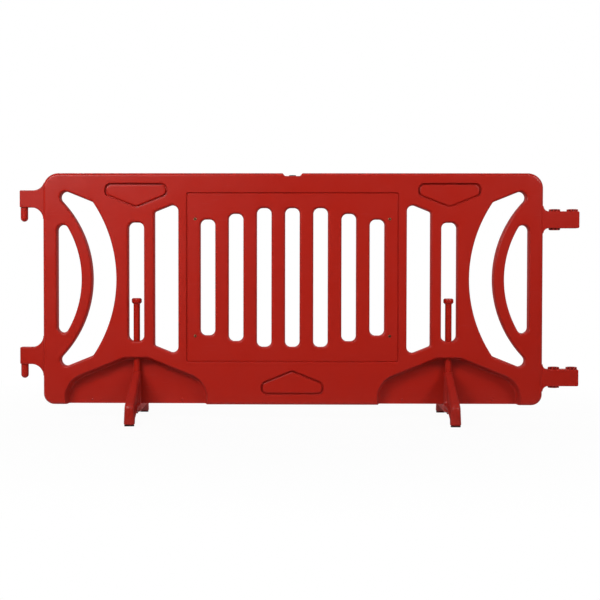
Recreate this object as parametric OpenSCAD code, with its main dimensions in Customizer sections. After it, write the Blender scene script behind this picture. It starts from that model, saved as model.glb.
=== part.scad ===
// Moulded pedestrian barrier panel with linking hooks, receivers and two swivelling, drop-down feet.
// Lengths are in millimetres. +X runs along the panel, the front faces -Y and +Z is up.
// The origin lies on the ground, at the centre of the whole barrier.

/* [Panel] */
// Length of the moulded panel between its end faces
panel_length = 1788; // [1740:1:1900]
// Height of the moulded panel from lower edge to top edge
panel_height = 831; // [815:1:880]
// Thickness of the moulded panel
panel_thickness = 56; // [54:0.5:64]
// Clear height under the panel's lower edge
ground_gap = 52; // [50:0.5:60]
// Radius of the two upper corners
top_corner_radius = 55; // [45:1:60]
// Radius of the two lower corners
bottom_corner_radius = 40; // [25:1:50]

/* [Top notch] */
// Width of the notch at its floor
notch_floor_width = 54; // [44:1:70]
// Depth of the notch below the top edge
notch_depth = 11.5; // [9:0.5:14]
// Extra width of the notch at its mouth
notch_flare = 19; // [12:1:30]
// Diameter of the filler plug's cap
plug_diameter = 26; // [22:0.5:34]
// Height of the plug's cap above the notch floor
plug_rise = 4; // [2:0.5:6]
// Diameter of the plug's stem
plug_stem_diameter = 18; // [12:0.5:20]
// Length of the plug's stem
plug_stem_length = 16; // [10:1:24]

/* [End windows] */
// Height of the windows' common centre line above the panel's mid-height
window_lift = 36; // [30:0.5:45]
// Distance of the windows' highest points below the top edge
window_top_margin = 67.5; // [62:0.5:76]
// Width of the rim between the end face and the bow window
end_rim_width = 51.5; // [50:0.5:60]
// Width of the bow window at its middle
bow_width = 86; // [80:0.5:94]
// Width of the curved bar between the bow and crescent windows
curved_bar_width = 40.5; // [35:0.5:46]
// Width of the crescent window at its middle
crescent_width = 84; // [76:0.5:90]
// Distance from the end face of the corner at the crescent's tip
crescent_tip_inset = 83; // [77:0.5:90]
// Radius of the corners beside the crescent's outer edge
crescent_corner_radius = 16; // [8:0.5:20]
// Slope of the braces between the windows, in degrees
brace_slope = 22; // [20:0.1:24]
// Width of the bar between the crescent and pin windows
pin_bar_width = 45; // [40:0.25:50]
// Width of the pin window
pin_window_width = 54.5; // [48:0.5:60]
// Height of the boss between the foot recess and the pin window
pin_boss_height = 58; // [50:1:64]
// Distance of the pin window's top below the windows' highest points
pin_window_drop = 110; // [98:1:130]
// Width of the bar between the pin and slanted windows
slant_bar_width = 39.25; // [34:0.25:45]
// Width of the slanted window
slant_width = 83.5; // [76:0.5:90]
// Distance of the slanted window's blunt corners from the windows' highest and lowest points
slant_drop = 72.5; // [66:0.5:86]
// Corner radius of the windows
window_corner_radius = 20; // [12:0.5:22]
// Radius of the slanted window's blunt corners
slant_corner_radius = 8; // [4:0.5:12]

/* [Sign bay] */
// Width of the rim between the slanted windows and the sign bay
sign_rim_width = 31.5; // [26:0.5:37]
// Height of the sign bay's centre line above that of the end windows
sign_lift = 5.5; // [0:0.5:9]
// Half of the windows' whole height, less half of the sign bay's height
sign_drop = 9.5; // [4:0.5:18]
// Depth of the sign bay below the face
sign_depth = 3; // [1.5:0.1:5]
// Corner radius of the sign bay
sign_corner_radius = 8; // [4:0.5:14]
// Distance between the slots' centres
slot_pitch = 101; // [92:0.5:103]
// Width of a slot
slot_width = 51.5; // [44:0.5:56]
// Least width of the bay beside the outermost slots
slot_side_margin = 40; // [36:1:47]
// Half of the windows' whole height, less half of a middle slot's height
slot_drop = 63.5; // [54:0.5:76]
// Loss of height of each slot outside the middle three
slot_height_step = 41; // [20:1:48]
// Distance of the sign fixings from the bay's sides
fixing_side_inset = 30.5; // [26:0.5:36]
// Distance of the sign fixings from the bay's upper and lower edges
fixing_end_inset = 93.5; // [82:0.5:100]
// Diameter of a threaded insert's flange
insert_flange_diameter = 10; // [9.5:0.1:11]
// Thickness of the insert's flange
insert_flange_thickness = 0.8; // [0.5:0.1:1.2]
// Diameter of the insert's body
insert_body_diameter = 8.5; // [8:0.1:9.2]
// Length of the insert's body
insert_length = 14; // [10:0.5:18]
// Diameter of the insert's threaded bore
insert_bore_diameter = 6; // [5:0.1:6.5]

/* [Embossed fields] */
// Width of an embossed field
emboss_width = 221; // [200:1:240]
// Height of an embossed field's upright sides
emboss_side = 40; // [30:1:46]
// Depth of an embossed field below the face
emboss_depth = 3.5; // [2:0.1:5]
// Corner radius of an embossed field
emboss_corner_radius = 13; // [6:0.5:15]
// Distance of the upper fields below the top edge
emboss_top_margin = 39; // [34:1:42]
// Distance of the lower field above the lower edge
emboss_base_margin = 39; // [32:1:42]

/* [Foot recess] */
// Height of the recess's flat top above the panel's lower edge
recess_height = 171; // [166:1:176]
// Width of the recess's flat top
recess_flat_width = 84; // [76:1:96]
// Distance of the recess's sides from the end of a folded foot
recess_clearance = 14.5; // [12:0.5:18]
// Radius of the recess's shoulders
recess_shoulder_radius = 87; // [70:1:95]
// Thickness of the web that closes the recess behind
recess_web = 9; // [7:0.5:9.5]
// Narrowing of the recess from its mouth to its web, on each side
recess_draft = 10; // [4:0.5:11]
// Distance of the detent nubs from the pin
nub_offset = 163; // [150:1:190]
// Height of the detent nubs above the lower edge
nub_height = 17; // [14:0.5:24]
// Diameter of a detent nub's ball
nub_diameter = 8; // [6:0.5:8]
// Rise of a detent nub above the web
nub_rise = 1.5; // [0.5:0.1:1.5]

/* [Feet] */
// Reach of a foot before and behind the pin
foot_reach = 241; // [225:1:242]
// Width of a foot at the ground
foot_width = 37; // [33:0.5:37.5]
// Width of a foot at its top
foot_top_width = 28; // [26:0.5:30]
// Height of a foot at the pin
foot_height = 171; // [162:1:178]
// Height of the front edge of a foot
foot_toe_height = 73; // [66:1:82]
// Radius of the foot's front shoulder
foot_shoulder_radius = 24; // [12:1:30]
// Radius of the foot's upright edges, seen from above
foot_edge_radius = 8; // [4:0.5:10]
// Diameter of the hub round the pin
hub_diameter = 32; // [30.5:0.5:34]
// Height of the hub's underside above the ground
hub_clearance = 28; // [27:0.5:31]
// Height of the floor inside the hub, which only the pin's tail passes through
hub_floor_height = 62; // [56:1:70]
// Length of the hub's underside along the foot
hub_length = 84; // [70:1:96]
// Height of the front arch above the ground
front_arch_height = 40; // [34:0.5:46]
// Height of the rear arch above the ground
rear_arch_height = 30; // [28:0.5:33]
// Height of the arches where they meet the pads
arch_spring_height = 14; // [10:0.5:20]
// Length of a foot's bearing face at each end
foot_bearing_length = 22; // [18:0.5:28]
// Width of the raised rim round the foot's sides
foot_rim = 11; // [8:0.5:14]
// Thickness of the foot between its recessed sides
foot_web = 15; // [12:0.5:18]

/* [Foot pads] */
// Thickness of a rubber pad
pad_thickness = 4; // [3:0.5:6]
// Distance of a pad's edge inside the bearing face
pad_margin = 1.5; // [1:0.1:3]
// Diameter of a pad's stem
pad_stem_diameter = 8; // [6:0.5:10]
// Length of a pad's stem
pad_stem_length = 7; // [5:0.5:8]

/* [Foot pins] */
// Diameter of a foot pin
pin_diameter = 23.5; // [22:0.1:24]
// Height of a pin head's underside above the ground
pin_head_height = 414.5; // [402:0.5:425]
// Diameter of a pin head
pin_head_diameter = 36; // [32:0.5:40]
// Thickness of a pin head
pin_head_thickness = 20; // [17:0.5:24]
// Bevel round a pin head
pin_head_bevel = 5; // [2:0.5:7]
// Diameter of the pin's tail, which carries the washer and the ring
pin_tail_diameter = 8; // [6.5:0.1:8.5]
// Length of the pin below the retaining ring
pin_tail_length = 5; // [4:0.5:6]
// Outside diameter of the washer under the hub
washer_diameter = 26; // [22:0.5:30]
// Thickness of the washer
washer_thickness = 2.5; // [2:0.1:3]
// Outside diameter of the retaining ring
ring_diameter = 16; // [14:0.5:18]
// Thickness of the retaining ring
ring_thickness = 1.5; // [1.2:0.1:2]
// Depth of the ring's groove in the pin
ring_groove_depth = 1; // [0.8:0.1:1.5]
// Width of the gap in the ring
ring_gap = 5; // [4:0.5:6]

/* [Hooks] */
// Reach of a hook beyond the end face
hook_reach = 84; // [80:0.5:96]
// Height of a hook's arm
hook_arm_height = 61; // [56:0.5:64]
// Thickness of a hook's arm
hook_thickness = 38; // [34:0.5:42]
// Height of the upper arm's middle above the panel's lower edge
upper_hook_height = 738; // [730:0.5:742]
// Height of the lower arm's middle above the panel's lower edge
lower_hook_height = 175.5; // [165:0.5:184]
// Radius of the fillets between a hook and the end face
hook_fillet = 43; // [30:1:45]
// Diameter of a hook's pin
hook_pin_diameter = 27; // [25:0.1:28]
// Length of a hook's pin below its arm
hook_pin_length = 51; // [46:0.5:58]
// Distance of a hook's pin from the arm's outer end
hook_pin_inset = 14; // [14:0.5:17]
// Diameter of the pin's spigot inside the arm
hook_spigot_diameter = 18; // [14:0.5:20]
// Length of the pin's spigot inside the arm
hook_spigot_length = 40; // [30:1:46]

/* [Receivers] */
// Reach of a receiver beyond the end face
receiver_reach = 128; // [126:0.5:140]
// Height of a receiver's block
receiver_height = 60; // [56:0.5:64]
// Thickness of a receiver's block
receiver_thickness = 48; // [45:0.5:52]
// Height of the upper receiver's middle above the panel's lower edge
upper_receiver_height = 664.5; // [660:0.5:674]
// Height of the lower receiver's middle above the panel's lower edge
lower_receiver_height = 100; // [96:0.5:106]
// Radius of the fillets between a receiver and the end face
receiver_fillet = 20; // [12:0.5:24]
// Radius of a receiver's outer corners
receiver_corner_radius = 5; // [2:0.5:8]
// Distance of the inner bush from the end face
inner_bush_reach = 43; // [41:0.5:46]
// Distance of the outer bush from the end face
outer_bush_reach = 106.5; // [98:0.5:107]
// Diameter of a bush's collar
collar_diameter = 41; // [38:0.5:42]
// Height of a collar on top of a receiver
top_collar_height = 8; // [6:0.5:11]
// Height of the collar under a receiver
bottom_collar_height = 7; // [5:0.5:9]
// Outside diameter of a bush's sleeve
sleeve_diameter = 34; // [32:0.5:36]
// Length of a bush's sleeve inside the receiver
sleeve_length = 25; // [20:0.5:26]
// Diameter of a bush's bore
bush_bore_diameter = 28.5; // [28.2:0.1:30]

/* [Tenons] */
// Length of a connector's tenon inside the panel
tenon_length = 42; // [30:1:46]
// Margin of the tenon inside the outline of its arm
tenon_margin = 8; // [6:0.5:10]

/* [Fits] */
// Gap between pieces that are fixed to each other
seat_gap = 0.15; // [0.1:0.05:0.25]
// Gap between pieces that turn or slide on each other
running_gap = 0.3; // [0.2:0.05:0.4]
// Gap round a foot pin in the panel
pin_slide_gap = 0.5; // [0.3:0.05:0.8]

/* [Hidden] */

panel_red = [0.64, 0.11, 0.09];
foot_red = [0.60, 0.10, 0.08];
plug_grey = [0.16, 0.14, 0.14];
rubber_black = [0.05, 0.05, 0.05];
steel_grey = [0.62, 0.63, 0.65];
insert_brass = [0.62, 0.52, 0.36];

// One overrun serves every cut that passes through a face.
overrun = 20;
// Facets of a true round, steps along a corner and steps along a long sweep.
round_facets = 64;
corner_steps = 5;
sweep_steps = 12;

half_length = panel_length / 2;
half_thickness = panel_thickness / 2;

// The end windows lie about one centre line and the sign bay about another, a little higher. The ends of
// both are set off from the highest window's reach.
window_centre_height = panel_height / 2 + window_lift;
window_reach = panel_height - window_top_margin - window_centre_height;
sign_centre_height = window_centre_height + sign_lift;
pin_window_bottom = recess_height + pin_boss_height;
pin_window_top = window_centre_height + window_reach - pin_window_drop;
slant_short_height = 2 * (window_reach - slant_drop);
slot_height = 2 * (window_reach - slot_drop);
sign_height = 2 * (window_reach - sign_drop);

// The crescent's inner edge passes through its middle and round the corners at its tips, which fixes
// the point beyond the end face that the curved windows sweep about.
crescent_middle_inset = end_rim_width + bow_width + curved_bar_width + window_corner_radius;
crescent_tip_rise = window_reach - window_corner_radius;
sweep_centre_reach = (crescent_tip_rise * crescent_tip_rise + crescent_tip_inset * crescent_tip_inset
    - crescent_middle_inset * crescent_middle_inset) / (2 * (crescent_middle_inset - crescent_tip_inset));

// Along the panel the windows and bars follow each other inwards from the end face.
bow_radius = sweep_centre_reach + end_rim_width + bow_width;
crescent_inner_radius = bow_radius + curved_bar_width;
crescent_outer_radius = crescent_inner_radius + crescent_width;
crescent_tip_angle = asin(crescent_tip_rise / (crescent_inner_radius + window_corner_radius));
pin_inset = crescent_outer_radius - sweep_centre_reach + pin_bar_width + pin_window_width / 2;
slant_inset = pin_inset + pin_window_width / 2 + slant_bar_width;
sign_width = panel_length - 2 * (slant_inset + slant_width + sign_rim_width);
slots_each_side = floor((sign_width / 2 - slot_side_margin - slot_width / 2) / slot_pitch);
fixing_span_x = sign_width - 2 * fixing_side_inset;
fixing_span_z = sign_height - 2 * fixing_end_inset;

// The barrier's origin is the middle of its whole length, connectors included.
panel_x = (hook_reach - receiver_reach) / 2;
left_pin_x = panel_x - half_length + pin_inset;
right_pin_x = panel_x + half_length - pin_inset;
web_front = half_thickness - recess_web;
recess_width = 2 * (foot_reach + recess_clearance);
foot_seat_height = ground_gap - running_gap;
pin_radius = pin_diameter / 2;
washer_top = hub_clearance - running_gap;
ring_top = washer_top - washer_thickness;
pin_foot = ring_top - ring_thickness - pin_tail_length;

// Outline helpers. An outline is a list of [x, z] points that runs anticlockwise.
function unit(v) = v / norm(v);
function arc(centre, radius, start, stop, steps) =
    [for (i = [0:steps]) let(a = start + (stop - start) * i / steps) centre + radius * [cos(a), sin(a)]];

// One corner of an outline, rounded by an arc that touches both sides.
function rounded_corner(before, corner, after, radius) =
    let(
        back = unit(before - corner),
        on = unit(after - corner),
        half_angle = acos(back * on) / 2,
        centre = corner + unit(back + on) * radius / sin(half_angle),
        start = corner + back * radius / tan(half_angle) - centre,
        turn = sign(cross(corner - before, after - corner)) * (180 - 2 * half_angle),
        start_angle = atan2(start.y, start.x)
    )
    radius > 0 ? arc(centre, radius, start_angle, start_angle + turn, corner_steps) : [corner];

function rounded(points, radii) =
    let(n = len(points))
    [for (i = [0:n - 1]) each rounded_corner(points[(i + n - 1) % n], points[i], points[(i + 1) % n], radii[i])];

// The outward side of the edge from a to b.
function outward(a, b) = let(d = unit(b - a)) [d.y, -d.x];

// The outline moved outwards by a distance, or inwards by a negative one.
function grown(points, distance) =
    let(n = len(points))
    [for (i = [0:n - 1]) let(
        a = outward(points[(i + n - 1) % n], points[i]),
        b = outward(points[i], points[(i + 1) % n])
    ) points[i] + (a + b) * distance / (1 + a * b)];

function box_outline(width, bottom, top, radius) = rounded(
    [[-width / 2, bottom], [width / 2, bottom], [width / 2, top], [-width / 2, top]],
    [radius, radius, radius, radius]);

function panel_outline() =
    let(
        floor_half = notch_floor_width / 2,
        mouth_half = floor_half + notch_flare / 2,
        floor_z = panel_height - notch_depth,
        notch_round = notch_depth / 3
    )
    rounded([
        [-half_length, 0], [half_length, 0], [half_length, panel_height],
        [mouth_half, panel_height], [floor_half, floor_z], [-floor_half, floor_z], [-mouth_half, panel_height],
        [-half_length, panel_height]
    ], [
        bottom_corner_radius, bottom_corner_radius, top_corner_radius,
        notch_round, notch_round, notch_round, notch_round, top_corner_radius
    ]);

// Bow window: a straight edge beside the end face and a curved edge, joined by round corners.
// Its origin is the sweep centre.
function bow_outline() =
    let(
        corner_x = sweep_centre_reach + end_rim_width + window_corner_radius,
        corner_reach = bow_radius - window_corner_radius,
        corner_z = sqrt(corner_reach * corner_reach - corner_x * corner_x),
        end_angle = atan2(corner_z, corner_x)
    )
    concat(
        arc([0, 0], bow_radius, -end_angle, end_angle, sweep_steps),
        slice(arc([corner_x, corner_z], window_corner_radius, end_angle, 180, 2 * corner_steps), 1, 0),
        slice(arc([corner_x, -corner_z], window_corner_radius, 180, 360 - end_angle, 2 * corner_steps), 0, 1)
    );

// The list without its first and last few entries.
function slice(list, first, last) = [for (i = [first:len(list) - 1 - last]) list[i]];

// Crescent window: two arcs about the sweep centre, round tips against the inner arc,
// and sloping ends that run from the tips to the outer arc.
function crescent_upper_end() =
    let(
        tip_radius = window_corner_radius,
        tip_centre = (crescent_inner_radius + tip_radius) * [cos(crescent_tip_angle), sin(crescent_tip_angle)],
        slope_angle = 90 - brace_slope,
        slope_normal = [cos(slope_angle), sin(slope_angle)],
        slope_reach = slope_normal * tip_centre + tip_radius,
        corner_reach = crescent_outer_radius - crescent_corner_radius,
        corner_angle = slope_angle - acos((slope_reach - crescent_corner_radius) / corner_reach),
        corner_centre = corner_reach * [cos(corner_angle), sin(corner_angle)]
    )
    concat(
        arc(corner_centre, crescent_corner_radius, corner_angle, slope_angle, corner_steps),
        arc(tip_centre, tip_radius, slope_angle, 180 + crescent_tip_angle, 2 * corner_steps)
    );

function flipped(points) = [for (i = [len(points) - 1:-1:0]) [points[i].x, -points[i].y]];

function crescent_outline() =
    let(
        upper = crescent_upper_end(),
        lower = flipped(upper),
        outer_angle = atan2(upper[0].y, upper[0].x),
        outer = arc([0, 0], crescent_outer_radius, -outer_angle, outer_angle, sweep_steps),
        inner = arc([0, 0], crescent_inner_radius, crescent_tip_angle, -crescent_tip_angle, sweep_steps)
    )
    concat(slice(outer, 1, 1), upper, slice(inner, 1, 1), lower);

// Slanted window: its ends follow the braces, so its inner edge is the taller one.
function slant_outline() =
    let(
        short_half = slant_short_height / 2,
        tall_half = short_half + slant_width * tan(brace_slope)
    )
    rounded(
        [[0, -short_half], [slant_width, -tall_half], [slant_width, tall_half], [0, short_half]],
        [slant_corner_radius, window_corner_radius, window_corner_radius, slant_corner_radius]);

// Embossed field: a house shape that stands on its flat side.
function emboss_outline() =
    let(
        half = emboss_width / 2,
        ridge = emboss_side + half * tan(brace_slope),
        r = emboss_corner_radius
    )
    rounded([[-half, 0], [half, 0], [half, emboss_side], [0, ridge], [-half, emboss_side]], [r, r, r, r, r]);

// Foot recess: flat top, sloping shoulders and upright sides that run out through the lower edge.
function recess_outline() =
    let(
        side = recess_width / 2,
        flat = recess_flat_width / 2,
        shoulder_z = recess_height - (side - flat) * tan(brace_slope),
        below = -overrun - recess_draft
    )
    rounded(
        [[-side, below], [side, below], [side, shoulder_z], [flat, recess_height],
         [-flat, recess_height], [-side, shoulder_z]],
        [0, 0, recess_shoulder_radius, window_corner_radius, window_corner_radius, recess_shoulder_radius]);

// Solid through a row of like outlines, each at its own depth along Y.
module lofted(outlines, depths) {
    n = len(outlines[0]);
    last = len(outlines) - 1;
    polyhedron(
        points = [for (k = [0:last]) each [for (p = outlines[k]) [p.x, depths[k], p.y]]],
        faces = concat(
            [[for (i = [n - 1:-1:0]) i]],
            [for (k = [0:last - 1]) each [for (i = [0:n - 1])
                let(j = (i + 1) % n) [k * n + i, k * n + j, (k + 1) * n + j, (k + 1) * n + i]]],
            [[for (i = [0:n - 1]) last * n + i]]
        ));
}

// Flat outline in X and Z, thickened evenly about the panel's middle plane.
module upright(thickness) {
    translate([0, thickness / 2, 0])
        rotate([90, 0, 0])
            linear_extrude(thickness)
                children();
}

// Flat outline in Y and Z, thickened evenly about X = 0.
module sideways(thickness) {
    translate([-thickness / 2, 0, 0])
        rotate([90, 0, 90])
            linear_extrude(thickness)
                children();
}

module rod(diameter, bottom, top) {
    translate([0, 0, bottom])
        cylinder(d = diameter, h = top - bottom, $fn = round_facets);
}

// The panel's own frame: its lower edge at zero height, its middle at zero length.
module in_panel() {
    translate([panel_x, 0, ground_gap])
        children();
}

// The left end as drawn, and its mirror image at the right end.
module both_ends() {
    children();
    mirror([1, 0, 0])
        children();
}

// Windows of one end, drawn flat for the left end.
module end_windows() {
    translate([-half_length - sweep_centre_reach, window_centre_height]) {
        polygon(bow_outline());
        polygon(crescent_outline());
    }
    translate([-half_length + pin_inset, 0])
        polygon(box_outline(pin_window_width, pin_window_bottom, pin_window_top, window_corner_radius));
    translate([-half_length + slant_inset, window_centre_height])
        polygon(slant_outline());
}

// Height of a slot, counted from the middle one.
function slot_height_at(place) = slot_height - slot_height_step * max(0, abs(place) - 1);

module sign_slots() {
    for (place = [-slots_each_side:slots_each_side])
        translate([place * slot_pitch, sign_centre_height])
            polygon(box_outline(
                slot_width, -slot_height_at(place) / 2, slot_height_at(place) / 2, window_corner_radius));
}

// The pierced panel, before anything is pressed into its faces.
module panel_blank() {
    upright(panel_thickness)
        difference() {
            polygon(panel_outline());
            sign_slots();
            both_ends()
                end_windows();
        }
}

// Shallow field pressed into both faces.
module field_cut(depth) {
    for (face = [-1, 1])
        translate([0, face * (half_thickness + (overrun - depth) / 2), 0])
            upright(overrun + depth)
                children();
}

module sign_bay() {
    field_cut(sign_depth)
        translate([0, sign_centre_height])
            polygon(box_outline(sign_width, -sign_height / 2, sign_height / 2, sign_corner_radius));
}

module embossed_fields() {
    field_cut(emboss_depth) {
        both_ends()
            translate([-half_length + pin_inset, panel_height - emboss_top_margin])
                mirror([0, 1])
                    polygon(emboss_outline());
        translate([0, emboss_base_margin])
            polygon(emboss_outline());
    }
}

// Recess that a folded foot lies in: open in front and below, closed by the web behind.
module foot_recess() {
    outline = recess_outline();
    translate([-half_length + pin_inset, 0, 0])
        lofted(
            [outline, outline, grown(outline, -recess_draft)],
            [-half_thickness - overrun, -half_thickness, web_front]);
}

module pin_hole() {
    translate([-half_length + pin_inset, 0, 0])
        rod(pin_diameter + 2 * pin_slide_gap, recess_height - overrun, pin_window_bottom + overrun);
}

module detent_nubs() {
    for (side = [-1, 1])
        translate([-half_length + pin_inset + side * nub_offset, web_front - nub_rise + nub_diameter / 2, nub_height])
            sphere(d = nub_diameter, $fn = round_facets);
}

// Places of the four sign fixings on the floor of the front sign bay.
module at_fixings() {
    for (x = [-1, 1], z = [-1, 1])
        translate([x * fixing_span_x / 2, sign_depth - half_thickness, sign_centre_height + z * fixing_span_z / 2])
            rotate([90, 0, 0])
                children();
}

module plug_hole() {
    floor_z = panel_height - notch_depth;
    rod(plug_stem_diameter + 2 * seat_gap, floor_z - plug_stem_length - seat_gap, floor_z + overrun);
}

module panel_body() {
    color(panel_red)
        in_panel() {
            difference() {
                panel_blank();
                sign_bay();
                embossed_fields();
                both_ends() {
                    foot_recess();
                    pin_hole();
                }
                plug_hole();
                at_fixings()
                    rod(insert_body_diameter + 2 * seat_gap, -insert_length - seat_gap, overrun);
                at_hook_ends()
                    tenon(hook_arm_height, hook_thickness, seat_gap);
                at_receiver_ends()
                    tenon(receiver_height, receiver_thickness, seat_gap);
            }
            both_ends()
                detent_nubs();
        }
}

module top_plug() {
    floor_z = panel_height - notch_depth;
    color(plug_grey)
        in_panel() {
            rod(plug_diameter, floor_z, floor_z + plug_rise);
            rod(plug_stem_diameter, floor_z - plug_stem_length, floor_z);
        }
}

module sign_inserts() {
    color(insert_brass)
        in_panel()
            at_fixings()
                difference() {
                    union() {
                        rod(insert_body_diameter, -insert_length, 0);
                        rod(insert_flange_diameter, 0, insert_flange_thickness);
                    }
                    rod(insert_bore_diameter, -insert_length - overrun, overrun);
                }
}

// Connectors. Each is drawn with its end face at zero length and its arm's middle at zero height,
// and it reaches out towards -X; the receivers are mirrored.
module at_hook_ends() {
    for (z = [upper_hook_height, lower_hook_height])
        translate([-half_length, 0, z])
            children();
}

module at_receiver_ends() {
    for (z = [upper_receiver_height, lower_receiver_height])
        translate([half_length, 0, z])
            mirror([1, 0, 0])
                children();
}

// Tenon inside the panel's end, or its socket when a gap is given.
module tenon(arm_height, arm_thickness, gap) {
    height = arm_height - 2 * tenon_margin + 2 * gap;
    thickness = arm_thickness - 2 * tenon_margin + 2 * gap;
    out = gap > 0 ? overrun : tenon_margin;
    translate([-out, -thickness / 2, -height / 2])
        cube([out + tenon_length + gap, thickness, height]);
}

// How far a fillet's centre stands above the foot of the panel's round corner.
function fillet_rise(height) = max(0, height - panel_height + top_corner_radius);

// Centre of a fillet, outside the end face, that touches it or, higher up, the panel's round corner.
function fillet_x(radius, height) =
    let(
        rise = fillet_rise(height),
        reach = top_corner_radius + radius
    )
    top_corner_radius - sqrt(reach * reach - rise * rise);

// Height of the point where a fillet touches the panel, above the arm.
function fillet_tip(radius, height) = radius * (1 - fillet_rise(height) / (top_corner_radius + radius));

// Outline of an arm with a fillet above and below, cut off along the panel's own outline.
module arm_outline(reach, arm_height, middle, fillet, corner) {
    half = arm_height / 2;
    difference() {
        union() {
            polygon(rounded(
                [[-reach, -half], [overrun, -half], [overrun, half], [-reach, half]], [corner, 0, 0, corner]));
            for (up = [-1, 1])
                fillet_outline(up > 0 ? middle + half + fillet : 0, up, half, fillet);
        }
        translate([half_length, -middle])
            polygon(panel_outline());
    }
}

module fillet_outline(height, up, half, fillet) {
    centre_x = fillet_x(fillet, height);
    mirror([0, up > 0 ? 0 : 1])
        difference() {
            translate([centre_x, 0])
                square([overrun - centre_x, half + fillet_tip(fillet, height)]);
            translate([centre_x, half + fillet])
                circle(r = fillet, $fn = 2 * round_facets);
        }
}

module hook(middle) {
    arm_end = tenon_margin;
    color(panel_red)
        in_panel()
            translate([-half_length, 0, middle])
                difference() {
                    union() {
                        upright(hook_thickness)
                            arm_outline(hook_reach, hook_arm_height, middle, hook_fillet, arm_end / 2);
                        tenon(hook_arm_height, hook_thickness, 0);
                    }
                    translate([hook_pin_inset - hook_reach, 0, -hook_arm_height / 2])
                        rod(hook_spigot_diameter + 2 * seat_gap, -overrun, hook_spigot_length + seat_gap);
                }
}

// Pin with a ball end that hangs under a hook's arm, held by its spigot.
module hook_pin(middle) {
    radius = hook_pin_diameter / 2;
    color(panel_red)
        in_panel()
            translate([-half_length + hook_pin_inset - hook_reach, 0, middle - hook_arm_height / 2]) {
                rod(hook_pin_diameter, radius - hook_pin_length, 0);
                translate([0, 0, radius - hook_pin_length])
                    sphere(d = hook_pin_diameter, $fn = round_facets);
                rod(hook_spigot_diameter, 0, hook_spigot_length);
            }
}

module upper_hook() { hook(upper_hook_height); }
module lower_hook() { hook(lower_hook_height); }
module upper_hook_pin() { hook_pin(upper_hook_height); }
module lower_hook_pin() { hook_pin(lower_hook_height); }

module in_receiver(middle) {
    in_panel()
        translate([half_length, 0, middle])
            mirror([1, 0, 0])
                children();
}

module receiver(middle) {
    half = receiver_height / 2;
    pocket = sleeve_diameter + 2 * seat_gap;
    color(panel_red)
        in_receiver(middle)
            difference() {
                union() {
                    upright(receiver_thickness)
                        arm_outline(receiver_reach, receiver_height, middle, receiver_fillet, receiver_corner_radius);
                    tenon(receiver_height, receiver_thickness, 0);
                }
                translate([-inner_bush_reach, 0, 0]) {
                    rod(pocket, half - sleeve_length - seat_gap, half + overrun);
                    rod(pocket, -half - overrun, sleeve_length + seat_gap - half);
                    rod(bush_bore_diameter, -half, half);
                }
                translate([-outer_bush_reach, 0, 0]) {
                    rod(pocket, half - sleeve_length - seat_gap, half + overrun);
                    rod(bush_bore_diameter, -half - overrun, half);
                }
            }
}

// Flanged bush: a collar on the receiver's face and a sleeve inside it.
module bush(middle, reach, face, collar_height) {
    half = receiver_height / 2;
    color(panel_red)
        in_receiver(middle)
            translate([-reach, 0, 0])
                mirror([0, 0, face > 0 ? 0 : 1])
                    difference() {
                        union() {
                            rod(collar_diameter, half, half + collar_height);
                            rod(sleeve_diameter, half - sleeve_length, half);
                        }
                        rod(bush_bore_diameter, half - sleeve_length - overrun, half + collar_height + overrun);
                    }
}

module upper_receiver() { receiver(upper_receiver_height); }
module lower_receiver() { receiver(lower_receiver_height); }
module upper_inner_top_bush() { bush(upper_receiver_height, inner_bush_reach, 1, top_collar_height); }
module upper_inner_bottom_bush() { bush(upper_receiver_height, inner_bush_reach, -1, bottom_collar_height); }
module upper_outer_bush() { bush(upper_receiver_height, outer_bush_reach, 1, top_collar_height); }
module lower_inner_top_bush() { bush(lower_receiver_height, inner_bush_reach, 1, top_collar_height); }
module lower_inner_bottom_bush() { bush(lower_receiver_height, inner_bush_reach, -1, bottom_collar_height); }
module lower_outer_bush() { bush(lower_receiver_height, outer_bush_reach, 1, top_collar_height); }

// Foot seen from its side, in Y and Z: a tall gusset that ends at the pin, and behind it a low bar
// that passes under the panel. The hub rounds the gusset's back, so that it clears the web as it turns.
// Arches leave only the ends on the ground.
function foot_side_outline() =
    let(
        hub_half = hub_diameter / 2,
        under_half = hub_length / 2,
        bearing = foot_reach - foot_bearing_length,
        front_arch_run = front_arch_height - hub_clearance,
        rear_nose = (foot_seat_height - pad_thickness) / 2
    )
    rounded([
        [-foot_reach, pad_thickness], [-bearing, pad_thickness],
        [foot_bearing_length / 2 - bearing, arch_spring_height + pad_thickness],
        [-foot_reach / 2, front_arch_height], [-under_half - front_arch_run, front_arch_height],
        [-under_half, hub_clearance], [under_half, hub_clearance],
        [bearing - foot_bearing_length, rear_arch_height], [bearing, pad_thickness], [foot_reach, pad_thickness],
        [foot_reach, foot_seat_height], [0, foot_seat_height],
        [0, foot_height], [-hub_half, foot_height], [-foot_reach, foot_toe_height]
    ], [
        pad_thickness / 2, pad_thickness / 2,
        foot_edge_radius / 2, foot_shoulder_radius, foot_shoulder_radius / 2,
        foot_edge_radius / 2, foot_edge_radius / 2,
        foot_edge_radius, pad_thickness / 2, pad_thickness / 2,
        rear_nose, foot_edge_radius / 2,
        0, foot_edge_radius, foot_shoulder_radius
    ]);

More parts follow.
